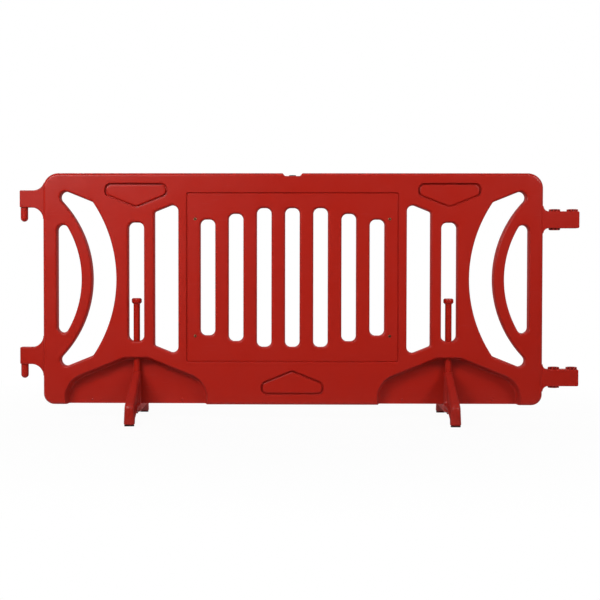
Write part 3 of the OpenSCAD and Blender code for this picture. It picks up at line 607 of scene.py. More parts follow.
def fix(obj, body, finish, *nodes):
    """Parents a finished piece to the empty of the body it rides on and hides the CAD nodes it stands for. The
    finish is not used.
    """
    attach(obj, body)
    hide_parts(*nodes)
    print(obj.name, "has", len(obj.data.polygons), "faces")
    return obj


print("mesh helpers ready")


# %% Turned shapes
def turned(profile, axis, segments=56):
    """Points and faces of a profile turned about an axis. Its (radius, height) pairs run upwards on the outside,
    so that the faces look outwards."""
    points, faces, rings = [], [], []
    turn = np.linspace(0, 2 * math.pi, segments, endpoint=False)
    for radius, height in profile:
        if radius < 1e-9:
            rings.append([len(points)])
            points.append((axis[0], axis[1], height))
        else:
            rings.append(list(range(len(points), len(points) + segments)))
            points += [(axis[0] + radius * math.cos(t), axis[1] + radius * math.sin(t), height) for t in turn]
    for low, high in zip(rings, rings[1:]):
        for i in range(segments):
            j = (i + 1) % segments
            a, b = low[i % len(low)], low[j % len(low)]
            c, d = high[j % len(high)], high[i % len(high)]
            faces.append(list(dict.fromkeys((a, b, c, d))))
    return points, faces


def scaled(points):
    return [(x * MM, y * MM, z * MM) for x, y, z in points]


def turned_object(name, profile, axis, segments, material):
    points, faces = turned(profile, axis, segments)
    return new_object(name, scaled(points), faces, material)


def round_corner(radius, height, inset, rise, steps=4):
    """Points of a turned edge, from its side to its top, rounded by inset across and rise up."""
    return [(radius - inset * (1 - math.cos(t)), height - rise * (1 - math.sin(t))) for t in quarter(steps)]


print("a turned edge has", len(round_corner(10, 0, 1, 1)), "rings")

# %% [markdown]
# ## The panel's outlines
# The windows follow each other inwards from each end: a bow and a crescent that sweep about one point
# beyond the end face, the tall window that the foot's pin stands in, and a slanted window. Between the
# ends lies the sign bay, with seven slots that get shorter towards its sides. Three house-shaped fields
# are pressed beside them. The panel's size comes from its CAD node, and the rest are its own dimensions.

# %% Panel sizes
PANEL_X = (panel_low.x + panel_high.x) / 2 / MM
GROUND_GAP = panel_low.z / MM
LENGTH = (panel_high.x - panel_low.x) / MM
HEIGHT = (panel_high.z - panel_low.z) / MM
HALF = (panel_high.y - panel_low.y) / MM / 2
HALF_LENGTH = LENGTH / 2

WINDOW_LIFT, TOP_RAIL, SIGN_LIFT = 36, 67.5, 5.5
WINDOW_MIDDLE = HEIGHT / 2 + WINDOW_LIFT
WINDOW_REACH = HEIGHT - TOP_RAIL - WINDOW_MIDDLE
SIGN_MIDDLE = WINDOW_MIDDLE + SIGN_LIFT
WINDOW_CORNER = 20
BRACE_SLOPE = 22
END_RIM, BOW_WIDTH, CURVED_BAR, CRESCENT_WIDTH = 51.5, 86, 40.5, 84
TIP_INSET, CRESCENT_CORNER = 83, 16
PIN_BAR, PIN_WINDOW_WIDTH, PIN_WINDOW_DROP = 45, 54.5, 110
SLANT_BAR, SLANT_WIDTH, SLANT_CORNER, SLANT_DROP = 39.25, 83.5, 8, 72.5
RECESS_HEIGHT, PIN_BOSS = 171, 58

tip_rise = WINDOW_REACH - WINDOW_CORNER
middle_inset = END_RIM + BOW_WIDTH + CURVED_BAR + WINDOW_CORNER
SWEEP_REACH = (tip_rise**2 + TIP_INSET**2 - middle_inset**2) / (2 * (middle_inset - TIP_INSET))
BOW_RADIUS = SWEEP_REACH + END_RIM + BOW_WIDTH
INNER_RADIUS = BOW_RADIUS + CURVED_BAR
OUTER_RADIUS = INNER_RADIUS + CRESCENT_WIDTH
PIN_INSET = OUTER_RADIUS - SWEEP_REACH + PIN_BAR + PIN_WINDOW_WIDTH / 2
PIN_PLACES = (PIN_INSET - HALF_LENGTH, HALF_LENGTH - PIN_INSET)
SLANT_INSET = PIN_INSET + PIN_WINDOW_WIDTH / 2 + SLANT_BAR
sweep_centre = np.array([-HALF_LENGTH - SWEEP_REACH, WINDOW_MIDDLE])
print("sweep centre", round(SWEEP_REACH, 2), "mm beyond the end face")


# %% End windows
def bow_outline():
    corner_x, corner_reach = SWEEP_REACH + END_RIM + WINDOW_CORNER, BOW_RADIUS - WINDOW_CORNER
    corner_z = math.sqrt(corner_reach**2 - corner_x**2)
    end = math.degrees(math.atan2(corner_z, corner_x))
    return np.vstack((
        arc((0, 0), BOW_RADIUS, -end, end, SWEEP_STEPS),
        arc((corner_x, corner_z), WINDOW_CORNER, end, 180, 2 * CORNER_STEPS)[1:],
        arc((corner_x, -corner_z), WINDOW_CORNER, 180, 360 - end, 2 * CORNER_STEPS)[:-1])) + sweep_centre


def crescent_outline():
    tip = math.degrees(math.asin(tip_rise / (INNER_RADIUS + WINDOW_CORNER)))
    tip_centre = (INNER_RADIUS + WINDOW_CORNER) * towards(tip)
    slope = 90 - BRACE_SLOPE
    reach = OUTER_RADIUS - CRESCENT_CORNER
    beyond = towards(slope) @ tip_centre + WINDOW_CORNER - CRESCENT_CORNER
    corner = slope - math.degrees(math.acos(beyond / reach))
    upper = np.vstack((arc(reach * towards(corner), CRESCENT_CORNER, corner, slope, CORNER_STEPS),
                       arc(tip_centre, WINDOW_CORNER, slope, 180 + tip, 2 * CORNER_STEPS)))
    lower = (upper * (1, -1))[::-1]
    outer = arc((0, 0), OUTER_RADIUS, -corner, corner, SWEEP_STEPS)[1:-1]
    inner = arc((0, 0), INNER_RADIUS, tip, -tip, SWEEP_STEPS)[1:-1]
    return np.vstack((outer, upper, inner, lower)) + sweep_centre


pin_top = WINDOW_MIDDLE + WINDOW_REACH - PIN_WINDOW_DROP
pin_window = box_outline(PIN_WINDOW_WIDTH, RECESS_HEIGHT + PIN_BOSS, pin_top, WINDOW_CORNER) + (PIN_PLACES[0], 0)
short_half = WINDOW_REACH - SLANT_DROP
tall_half = short_half + SLANT_WIDTH * math.tan(math.radians(BRACE_SLOPE))
slant = rounded([(0, -short_half), (SLANT_WIDTH, -tall_half), (SLANT_WIDTH, tall_half), (0, short_half)],
                [SLANT_CORNER, WINDOW_CORNER, WINDOW_CORNER, SLANT_CORNER])
left_windows = [bow_outline(), crescent_outline(), pin_window, slant + (SLANT_INSET - HALF_LENGTH, WINDOW_MIDDLE)]
end_windows = left_windows + [mirrored(window) for window in left_windows]
print("end windows", len(end_windows))

# %% Sign bay, fields and outside
SIGN_RIM, SIGN_DROP, SIGN_CORNER = 31.5, 9.5, 8
SLOT_PITCH, SLOT_WIDTH, SLOT_DROP, SLOT_STEP = 101, 51.5, 63.5, 20.5
sign_width = LENGTH - 2 * (SLANT_INSET + SLANT_WIDTH + SIGN_RIM)
sign_half = WINDOW_REACH - SIGN_DROP
slots = []
for place in range(-3, 4):
    slot_half = WINDOW_REACH - SLOT_DROP - SLOT_STEP * max(0, abs(place) - 1)
    slots.append(box_outline(SLOT_WIDTH, -slot_half, slot_half, WINDOW_CORNER) + (place * SLOT_PITCH, SIGN_MIDDLE))
sign_bay = box_outline(sign_width, -sign_half, sign_half, SIGN_CORNER) + (0, SIGN_MIDDLE)

FIELD_HALF, FIELD_SIDE, FIELD_CORNER, FIELD_APEX, FIELD_MARGIN = 110.5, 40, 21, 14, 39
ridge = FIELD_SIDE + FIELD_HALF * math.tan(math.radians(BRACE_SLOPE))
house = rounded(
    [(-FIELD_HALF, 0), (FIELD_HALF, 0), (FIELD_HALF, FIELD_SIDE), (0, ridge), (-FIELD_HALF, FIELD_SIDE)],
    [FIELD_CORNER, FIELD_CORNER, FIELD_CORNER, FIELD_APEX, FIELD_CORNER])
hanging = (house * (1, -1))[::-1]
houses = [hanging + (x, HEIGHT - FIELD_MARGIN) for x in PIN_PLACES] + [house + (0, FIELD_MARGIN)]

LOWER_CORNER, UPPER_CORNER, OUTSIDE_STEPS = 40, 55, 14
panel_outline = rounded([(-HALF_LENGTH, 0), (HALF_LENGTH, 0), (HALF_LENGTH, HEIGHT), (-HALF_LENGTH, HEIGHT)],
                        [LOWER_CORNER, LOWER_CORNER, UPPER_CORNER, UPPER_CORNER], OUTSIDE_STEPS)
print("slots", len(slots), "fields", len(houses))

# %% [markdown]
# ## The panel
# The plate is made first, with all its windows and fields. Then the foot recesses and the notch of the
# top edge are cut with lofted tools whose mouths flare, so the cuts come out with rounded edges and
# drafted walls as from a mould. Holes and sockets for the other pieces follow.

# %% Panel plate
RIM_ROUND, WINDOW_ROUND, WALL_LEAN = 11, 6.5, 1.4
SIGN_DEPTH, SIGN_EDGE, SIGN_GROOVE = 3.0, 5.6, 2.6
FIELD_DEPTH, FIELD_EDGE, FIELD_GROOVE = 3.5, 9.0, 8.0
sign_steps = pressed_steps(SIGN_DEPTH, SIGN_EDGE, SIGN_GROOVE)
field_steps = pressed_steps(FIELD_DEPTH, FIELD_EDGE, FIELD_GROOVE)
plate = moulded_plate(panel_outline, HALF, RIM_ROUND, WINDOW_ROUND, WALL_LEAN, end_windows,
                      [(sign_bay, sign_steps, slots)] + [(line, field_steps, []) for line in houses])


def from_panel(points, middle=HALF):
    """Points (x, depth, z) in the panel's own frame to metres, with depth counted so that middle is its centre."""
    return [((PANEL_X + x) * MM, (depth - middle) * MM, (GROUND_GAP + z) * MM) for x, depth, z in points]


panel = new_object("panel_shell", from_panel(plate.points), plate.faces, panel_plastic)
print("plate faces", len(plate.faces))

# %% Foot recesses
OVERRUN = 20


def lofted(rings):
    """Points and faces of a closed shell through (outline, depth) pairs from front to back."""
    shell = Shell()
    made = [shell.ring(outline, depth) for outline, depth in rings]
    for near, far in zip(made, made[1:]):
        shell.wall(near, far)
    shell.cap([made[0]], 0)
    shell.cap([made[-1]], 1)
    return shell.points, shell.faces


RECESS_HALF, RECESS_FLAT, RECESS_SHOULDER, RECESS_CROWN, RECESS_STEPS = 255.5, 42, 87, 24, 12
RECESS_WEB = 9
RECESS_MOUTH, DRAFT, FOOT_FILLET, FILLET_STEPS = 4.5, 7.0, 6.0, 5
shoulder_z = RECESS_HEIGHT - (RECESS_HALF - RECESS_FLAT) * math.tan(math.radians(BRACE_SLOPE))
recess = rounded(
    [(-RECESS_HALF, -2 * OVERRUN), (RECESS_HALF, -2 * OVERRUN), (RECESS_HALF, shoulder_z),
     (RECESS_FLAT, RECESS_HEIGHT), (-RECESS_FLAT, RECESS_HEIGHT), (-RECESS_HALF, shoulder_z)],
    [0, 0, RECESS_SHOULDER, RECESS_CROWN, RECESS_CROWN, RECESS_SHOULDER], RECESS_STEPS)
web_depth = 2 * HALF - RECESS_WEB
recess_profile = [(RECESS_MOUTH, -OVERRUN)] + mouth(RECESS_MOUTH, FILLET_STEPS)
recess_profile += [(-DRAFT - FOOT_FILLET * (1 - math.cos(t)), web_depth - FOOT_FILLET * (1 - math.sin(t)))
                   for t in quarter(FILLET_STEPS)]
tools = Shell()
for x in PIN_PLACES:
    tools.add(*lofted([(grown(recess + (x, 0), out), deep) for out, deep in recess_profile]))
print("recess tools have", len(tools.faces), "faces")

# %% Notch of the top edge
NOTCH_FLOOR, NOTCH_DEPTH, NOTCH_FLARE, NOTCH_CORNER, NOTCH_MOUTH = 27, 11.5, 9.5, 7, 5
notch_low, notch_high, notch_half = HEIGHT - NOTCH_DEPTH, HEIGHT + 2 * NOTCH_DEPTH, NOTCH_FLOOR + 3 * NOTCH_FLARE
notch = rounded(
    [(-NOTCH_FLOOR, notch_low), (NOTCH_FLOOR, notch_low), (notch_half, notch_high), (-notch_half, notch_high)],
    [NOTCH_CORNER, NOTCH_CORNER, 0, 0])
ends = [(NOTCH_MOUTH, -OVERRUN)] + mouth(NOTCH_MOUTH, 4)
ends += [(out, 2 * HALF - deep) for out, deep in ends[::-1]]
tools.add(*lofted([(grown(notch, out), deep) for out, deep in ends]))
combine(panel, new_object("mould_tools", from_panel(tools.points), tools.faces, panel_plastic))
print("panel after the recesses", len(panel.data.polygons), "faces")


# %% Holes and sockets
def block(low, high):
    """Points and faces of a box between two corners."""
    points = [(x, y, z) for x in (low[0], high[0]) for y in (low[1], high[1]) for z in (low[2], high[2])]
    return points, [(0, 1, 3, 2), (4, 6, 7, 5), (0, 4, 5, 1), (2, 3, 7, 6), (0, 2, 6, 4), (1, 5, 7, 3)]


def rod(radius, low, high, axis, segments=40):
    return turned([(0, low), (radius, low), (radius, high), (0, high)], axis, segments)


TENON, CLEAR = 42.2, 10
HOOK_SOCKETS, HOOK_TENON_HALF, HOOK_TENON_RISE = (738, 175.5), 11.2, 22.7
RECEIVER_SOCKETS, RECEIVER_TENON_HALF, RECEIVER_TENON_RISE = (664.5, 100), 16.2, 22.2
PIN_HOLE, PLUG_HOLE, PLUG_HOLE_DEPTH = 12.25, 9.15, 16.2
FIXING_SIDE, FIXING_END, FIXING_HOLE, FIXING_DEPTH = 30.5, 93.5, 4.4, 14

holes = Shell()
for z in HOOK_SOCKETS:
    holes.add(*block((-HALF_LENGTH - OVERRUN, -HOOK_TENON_HALF, z - HOOK_TENON_RISE),
                     (-HALF_LENGTH + TENON, HOOK_TENON_HALF, z + HOOK_TENON_RISE)))
for z in RECEIVER_SOCKETS:
    holes.add(*block((HALF_LENGTH - TENON, -RECEIVER_TENON_HALF, z - RECEIVER_TENON_RISE),
                     (HALF_LENGTH + OVERRUN, RECEIVER_TENON_HALF, z + RECEIVER_TENON_RISE)))
for x in PIN_PLACES:
    holes.add(*rod(PIN_HOLE, RECESS_HEIGHT - OVERRUN, RECESS_HEIGHT + PIN_BOSS + OVERRUN, (x, 0)))
holes.add(*rod(PLUG_HOLE, HEIGHT - NOTCH_DEPTH - PLUG_HOLE_DEPTH, HEIGHT + CLEAR, (0, 0)))
fixing_x, fixing_z = sign_width / 2 - FIXING_SIDE, sign_half - FIXING_END
FIXINGS = [(x, SIGN_MIDDLE + z) for x in (-fixing_x, fixing_x) for z in (-fixing_z, fixing_z)]
for place in FIXINGS:
    points, faces = rod(FIXING_HOLE, HALF - SIGN_DEPTH - FIXING_DEPTH, HALF + CLEAR, place, 28)
    holes.add([(x, -z, y) for x, y, z in points], faces)
combine(panel, new_object("drill_tools", from_panel(holes.points, 0), holes.faces, panel_plastic))
smooth(panel)
fix(panel, "panel", "panel_plastic", "panel_body")

# %% [markdown]
# ## Copies on points
# The four sign fixings and the four nubs that hold a folded foot are the same small shape repeated, so one
# Geometry Nodes tree makes both: it puts a copy of a given object on every point of a mesh, realizes the
# copies and gives them their material.

# %% Tree for copies on points
GEOMETRY, MATERIAL = "NodeSocketGeometry", "NodeSocketMaterial"


def end_tree(tree, last, finish, result, only=()):
    """Ends a tree: copies become real geometry, and all of it or a selection takes the finish."""
    real = add_node(tree, "GeometryNodeRealizeInstances", {"Geometry": last.outputs[0]})
    dressed = add_node(tree, "GeometryNodeSetMaterial", {
        "Geometry": real.outputs[0], "Material": finish, **dict(only)})
    tree.links.new(dressed.outputs[0], result.inputs["Geometry"])
    return tree


def copies_tree():
    tree, given, result = new_group(
        "copies_on_points", "GeometryNodeTree",
        [("Geometry", GEOMETRY, None), ("Piece", "NodeSocketObject", None), ("Finish", MATERIAL, None)],
        [("Geometry", GEOMETRY)])
    given = given.outputs
    piece = add_node(tree, "GeometryNodeObjectInfo", {"Object": given["Piece"]})
    placed = add_node(tree, "GeometryNodeInstanceOnPoints", {
        "Points": given["Geometry"], "Instance": piece.outputs["Geometry"]})
    return end_tree(tree, placed, given["Finish"], result)


def grow(obj, tree, values):
    """Runs a tree on an object and keeps the result. Values go in by the sockets' identifiers."""
    nodes = obj.modifiers.new(tree.name, "NODES")
    nodes.node_group = tree
    for item in tree.interface.items_tree:
        if item.item_type == "SOCKET" and item.in_out == "INPUT" and item.name in values:
            nodes[item.identifier] = values[item.name]
    return settle(obj)


copies = copies_tree()


def repeat(name, piece, spots, finish):
    """One piece that is a copy of another on every spot."""
    made = new_object(name, spots, [], finish)
    grow(made, copies, {"Piece": piece, "Finish": finish})
    bpy.data.objects.remove(piece)
    return made


print("tree", copies.name)

# %% [markdown]
# ## Sign fixings and nubs
# A fixing is a flanged, threaded brass insert, with a dark bore that a sign's screw goes into. A nub is a
# low dome on the web of the foot recess, which catches the hollow side of a folded foot. Both are drawn once
# at the origin and repeated.

# %% Sign fixings
INSERT_RADIUS, INSERT_LENGTH, FLANGE_RADIUS, FLANGE_RISE = 4.25, 14.7, 5.0, 0.8
THREAD_RADIUS, THREAD_DEPTH, THREAD_START, THREAD_STEP, THREAD_RINGS = 3.0, 0.35, -14.0, 0.5, 28
thread = [(THREAD_RADIUS + THREAD_DEPTH * (i % 2), THREAD_START + THREAD_STEP * i) for i in range(THREAD_RINGS)]
bore_end = (THREAD_RADIUS, -INSERT_LENGTH)
insert_profile = ([bore_end, (INSERT_RADIUS, -INSERT_LENGTH), (INSERT_RADIUS, 0.0), (FLANGE_RADIUS - 0.1, 0.0)]
                  + round_corner(FLANGE_RADIUS, FLANGE_RISE, 0.5, 0.5)
                  + [(THREAD_RADIUS + 0.6, FLANGE_RISE), (THREAD_RADIUS + THREAD_DEPTH, 0.5)]
                  + thread[::-1] + [bore_end])
points, faces = turned(insert_profile, (0, 0), 36)
insert = new_object("insert_pattern", scaled([(x, -z, y) for x, y, z in points]), faces, insert_brass)
spots = from_panel([(x, SIGN_DEPTH, z) for x, z in FIXINGS])
fixings = smooth(repeat("sign_fixings", insert, spots, insert_brass))
fix(fixings, "panel", "insert_brass", "sign_inserts")

# %% Folding nubs
NUB_OFFSET, NUB_HEIGHT, NUB_RISE, NUB_ROUND, NUB_TURN = 163, 17, 3.0, 5.5, 75
dome = [(NUB_ROUND * math.sin(t), NUB_ROUND * (math.cos(t) - 1)) for t in np.radians(np.linspace(NUB_TURN, 0, 8))]
dome.insert(0, (0, dome[0][1]))
points, faces = turned(dome, (0, 0), 24)
nub = new_object("nub_pattern", scaled([(x, -z - NUB_RISE, y) for x, y, z in points]), faces, panel_plastic)
spots = from_panel([(x + way * NUB_OFFSET, web_depth, NUB_HEIGHT) for x in PIN_PLACES for way in (-1, 1)])
nubs = smooth(repeat("folding_nubs", nub, spots, panel_plastic))
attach(nubs, "panel")
print("nubs", len(spots))

# %% [markdown]
# ## Filler plug
# The panel is hollow and can be weighted through a hole in its top edge. The plug that closes it is a low
# dark cap with a rounded rim, a shallow dish and a stem.

# %% Filler plug
PLUG_STEM, PLUG_STEM_LENGTH, PLUG_CAP, PLUG_RISE, PLUG_ROUND = 9, 16, 13, 4, 1.6
DISH_RIM, DISH_FLOOR, DISH_SLOPE, DISH_DEPTH = 9.6, 8.8, 0.6, 0.8
notch_z = GROUND_GAP + HEIGHT - NOTCH_DEPTH
stem_end, cap_top = notch_z - PLUG_STEM_LENGTH, notch_z + PLUG_RISE
plug_profile = ([(0, stem_end), (PLUG_STEM - 0.8, stem_end), (PLUG_STEM, stem_end + 1), (PLUG_STEM, notch_z),
                 (PLUG_CAP - 0.4, notch_z)]
                + round_corner(PLUG_CAP, cap_top, PLUG_ROUND, PLUG_ROUND)
                + [(DISH_RIM, cap_top), (DISH_FLOOR, cap_top - DISH_SLOPE), (0, cap_top - DISH_DEPTH)])
plug = turned_object("filler_plug", plug_profile, (PANEL_X, 0), 56, plug_plastic)
fix(smooth(plug, 30), "panel", "plug_plastic", "top_plug")

# %% [markdown]
# ## Hooks and receivers
# Panels stand in a row and are linked at their ends: the pin under each hook drops into the receivers of the
# next panel. Drawn anew, these would only repeat solids that are right but for their sharp edges. So a
# merged copy of each keeps the CAD shape and gets a bevel on the edges of its two faces, weighted so that
# the root against the panel, the tenon and the pockets stay crisp. The root is pushed a little into the
# panel, whose own edge is rounded.

# %% Connectors with rounded edges
ROOT, ROOT_GAP, ROOT_FACING = 6, 0.8, 0.85
HOOK_ROUND, RECEIVER_ROUND = 3.6, 2.6
MERGE, ON_FACE, OFF_PANEL, SHARP = 2e-6, 2e-5, 2e-4, 0.6


def outline_gap(x, z):
    """Distance of a point from the panel's outline."""
    side = np.roll(panel_outline, -1, 0) - panel_outline
    along = np.clip((((x, z) - panel_outline) * side).sum(1) / (side**2).sum(1), 0, 1)
    return np.linalg.norm(panel_outline + side * along[:, None] - (x, z), axis=1).min()


def softened(name, node, width, finish):
    """A merged copy of a connector, with rounded face edges and its root pushed into the panel's round edge."""
    low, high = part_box(node)
    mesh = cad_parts[node].data.copy()
    made = bpy.data.objects.new(name, mesh)
    scene.collection.objects.link(made)
    mesh.materials.clear()
    mesh.materials.append(finish)
    work = bmesh.new()
    work.from_mesh(mesh)
    bmesh.ops.remove_doubles(work, verts=work.verts, dist=MERGE)
    bmesh.ops.dissolve_limit(work, angle_limit=math.radians(1), verts=work.verts, edges=work.edges)
    weight = work.edges.layers.float.new("bevel_weight_edge")
    chosen = 0
    for edge in work.edges:
        on_face = all(min(abs(v.co.y - low.y), abs(v.co.y - high.y)) < ON_FACE for v in edge.verts)
        free = all(v.co.x < panel_low.x - OFF_PANEL or v.co.x > panel_high.x + OFF_PANEL for v in edge.verts)
        if on_face and free and len(edge.link_faces) == 2 and edge.calc_face_angle(0) > SHARP:
            edge[weight] = 1
            chosen += 1
    inwards = 1 if low.x < panel_low.x else -1
    gap = {v: outline_gap(v.co.x / MM - PANEL_X, v.co.z / MM - GROUND_GAP) for v in work.verts}
    work.normal_update()
    root = {v for face in work.faces
            if face.normal.x * inwards > ROOT_FACING and max(gap[v] for v in face.verts) < ROOT_GAP
            for v in face.verts}
    for v in root:
        v.co.x += inwards * ROOT * MM
    work.to_mesh(mesh)
    work.free()
    bevel = made.modifiers.new("soft_edges", "BEVEL")
    bevel.limit_method, bevel.width, bevel.segments, bevel.use_clamp_overlap = "WEIGHT", width * MM, 4, False
    settle(made)
    print(name, "rounds", chosen, "edges")
    return smooth(made)


for level in LEVELS:
    hook = softened(f"{level}_hook_arm", f"{level}_hook", HOOK_ROUND, panel_plastic)
    fix(hook, "panel", "panel_plastic", f"{level}_hook")
    receiver = softened(f"{level}_receiver_block", f"{level}_receiver", RECEIVER_ROUND, panel_plastic)
    fix(receiver, "panel", "panel_plastic", f"{level}_receiver")

# %% Hook pins
SHANK, SHANK_LENGTH = 9, 40


def hook_pin(level):
    low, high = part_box(f"{level}_hook_pin")
    axis, radius = ((low.x + high.x) / 2 / MM, 0), (high.x - low.x) / 2 / MM
    top = high.z / MM
    arm_z, ball = top - SHANK_LENGTH, low.z / MM + radius
    shape = [(radius * math.sin(t), ball - radius * math.cos(t)) for t in quarter(12)]
    shape += [(radius, arm_z - 2.0), (radius - 0.5, arm_z - 0.6), (radius - 1.2, arm_z), (SHANK, arm_z),
              (SHANK, top - 0.8), (SHANK - 0.8, top), (0, top)]
    return turned_object(f"{level}_link_pin", shape, axis, 64, panel_plastic)


for level in LEVELS:
    fix(smooth(hook_pin(level), 32), "panel", "panel_plastic", f"{level}_hook_pin")

# %% [markdown]
# ## Bushes
# Bushes line the bores that a neighbour's pin turns in. Each is a sleeve inside the receiver with a collar
# that stands on its face. The collars show dark and light upright stripes in the photograph, so they are
# ribbed, and the collar wall between the ribs gets a dark red that paints the shade of the grooves. The sleeve
# and collar are turned, and a Geometry Nodes tree sets ribs round the collar: a ring of points, one rib on
# each, so their number is one input. A rib carries a mark, so that only ribs take the plain red finish and
# the painted shade stays between them.

# %% Tree for a ribbed collar
def ribs_tree():
    tree, given, result = new_group(
        "ribbed_collar", "GeometryNodeTree",
        [("Geometry", GEOMETRY, None), ("Ribs", "NodeSocketInt", 12), ("Ring", FLOAT, 0.018),
         ("Rib Radius", FLOAT, 0.0024), ("Rib Height", FLOAT, 0.008), ("Turn", FLOAT, 0.0),
         ("Centre", "NodeSocketVector", (0, 0, 0)), ("Finish", MATERIAL, None)],
        [("Geometry", GEOMETRY)])
    given = given.outputs
    ring = add_node(tree, "GeometryNodeMeshCircle", {"Vertices": given["Ribs"], "Radius": given["Ring"]})
    rib = add_node(tree, "GeometryNodeMeshCylinder", {
        "Vertices": 14, "Radius": given["Rib Radius"], "Depth": given["Rib Height"]})
    marked = add_node(tree, "GeometryNodeStoreNamedAttribute", {
        "Geometry": rib.outputs["Mesh"], "Name": "rib", "Value": True}, data_type="BOOLEAN", domain="FACE")
    placed = add_node(tree, "GeometryNodeInstanceOnPoints", {
        "Points": ring.outputs[0], "Instance": marked.outputs[0]})
    turn = add_node(tree, "ShaderNodeCombineXYZ", {"Z": given["Turn"]})
    moved = add_node(tree, "GeometryNodeTransform", {
        "Geometry": placed.outputs[0], "Translation": given["Centre"], "Rotation": turn.outputs[0]})
    both = add_node(tree, "GeometryNodeJoinGeometry")
    tree.links.new(moved.outputs[0], both.inputs[0])
    tree.links.new(given["Geometry"], both.inputs[0])
    is_rib = add_node(tree, "GeometryNodeInputNamedAttribute", {"Name": "rib"}, data_type="BOOLEAN")
    return end_tree(tree, both, given["Finish"], result, {"Selection": is_rib.outputs[0]})


ribbed = ribs_tree()
print("tree", ribbed.name)

# %% Six bushes
BORE, SLEEVE, SLEEVE_LENGTH, COLLAR = 14.25, 17.0, 25, 20.5
RIBS, RIB, RIB_ROOT = 8, 3.0, 1.4
COLLAR_WALL = COLLAR - 2 * RIB + RIB_ROOT


def bush(node, face, collar_height):
    """A bush whose collar stands up (face 1) or hangs down (face -1) from its seat on the receiver."""
    low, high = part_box(node)
    axis = ((low.x + high.x) / 2 / MM, 0)
    seat = (high.z / MM - collar_height) if face > 0 else (low.z / MM + collar_height)
    shape = [(BORE, -SLEEVE_LENGTH), (SLEEVE - 0.6, -SLEEVE_LENGTH), (SLEEVE, 1 - SLEEVE_LENGTH), (SLEEVE, 0),
             (COLLAR_WALL, 0)]
    shape += round_corner(COLLAR_WALL, collar_height, 0.6, 0.6)
    shape += [(BORE + 0.5, collar_height), (BORE, collar_height - 0.5), (BORE, -SLEEVE_LENGTH)]
    points, faces = turned([(r, seat + face * z) for r, z in shape], axis, 64)
    if face < 0:
        faces = [face_points[::-1] for face_points in faces]
    made = new_object(f"{node}_ribbed", scaled(points), faces, bush_plastic)
    # The collar wall between the ribs takes the second, dark material: painted shade for the grooves.
    made.data.materials.append(groove_painted_shade)
    for side in made.data.polygons:
        out = math.hypot(side.center.x / MM - axis[0], side.center.y / MM)
        up = face * (side.center.z / MM - seat)
        side.material_index = 1 if up > 0.1 and out > COLLAR_WALL - 0.1 else 0
    grow(made, ribbed, {
        "Ribs": RIBS, "Ring": (COLLAR - RIB) * MM, "Rib Radius": RIB * MM, "Rib Height": (collar_height - 0.8) * MM,
        "Turn": math.pi / RIBS, "Centre": (axis[0] * MM, 0.0, (seat + face * (collar_height - 0.4) / 2) * MM),
        "Finish": bush_plastic})
    return smooth(made, 40)


for level in LEVELS:
    for place, face, collar_height in (("inner_top", 1, 8), ("inner_bottom", -1, 7), ("outer", 1, 8)):
        node = f"{level}_{place}_bush"
        fix(bush(node, face, collar_height), "panel", "bush_plastic", node)

# %% [markdown]
# ## Feet
# A foot is a tall gusset in front of its pin and a low bar that passes under the panel to the rear. It is
# moulded flat, so it is a plate seen from the side, with recessed sides inside a rim. The plate is then
# squeezed towards its top, because the foot tapers, and a hub is added round the pin.

# %% Foot outlines
FOOT_REACH, FOOT_HEIGHT, FOOT_TOE, FOOT_HALF, FOOT_TOP_HALF = 241, 171, 73, 18.5, 14
SEAT = GROUND_GAP - 0.3
PAD, TOE_BACK, FOOT_CROWN = 4, 219, 16
foot_outline = rounded(
    [(-FOOT_REACH, PAD), (-TOE_BACK, PAD), (-208, 18), (-120.5, 40), (-54, 40), (-42, 28), (42, 28), (197, 30),
     (TOE_BACK, PAD), (FOOT_REACH, PAD), (FOOT_REACH, SEAT), (0, SEAT), (0, FOOT_HEIGHT),
     (-FOOT_CROWN, FOOT_HEIGHT), (-FOOT_REACH, FOOT_TOE)],
    [6, 6, 14, 24, 12, 12, 12, 20, 6, 6, 20, 4, 10, 12, 26])
slope = (FOOT_HEIGHT - FOOT_TOE) / (FOOT_REACH - FOOT_CROWN)
FOOT_RIM, POCKET_TOE, POCKET_BACK, POCKET_BOTTOM = 17, 222, 34, 58
drop = FOOT_RIM * math.sqrt(1 + slope**2)
pocket = rounded(
    [(-POCKET_TOE, 36), (-120.5, POCKET_BOTTOM), (-POCKET_BACK, POCKET_BOTTOM),
     (-POCKET_BACK, FOOT_HEIGHT - (POCKET_BACK - FOOT_CROWN) * slope - drop),
     (-POCKET_TOE, FOOT_TOE + (FOOT_REACH - POCKET_TOE) * slope - drop)],
    [7, 10, 10, 10, 7])
pocket_steps = [(2.4, 0.0), (0.9, 0.3), (0.2, 1.2), (-0.2, 2.4), (-1.6, 8.0), (-2.6, 9.8), (-4.4, 10.8),
                (-6.4, 11.0)]
print("foot outline", len(foot_outline), "points")

# %% Two feet
FOOT_ROUND, FOOT_LEAN = 12, 0.5
LEAST_EASE, GUSSET_EASE, BAR_EASE, EASE_RISE, GUSSET_BACK = 0.3, 1.0, 0.62, 45, -50
HUB, HUB_BOTTOM, HUB_ROUND = 16, 28.2, 2
TAIL_HOLE, FOOT_BORE, PIN_SEAT = 4.3, 12.05, 62


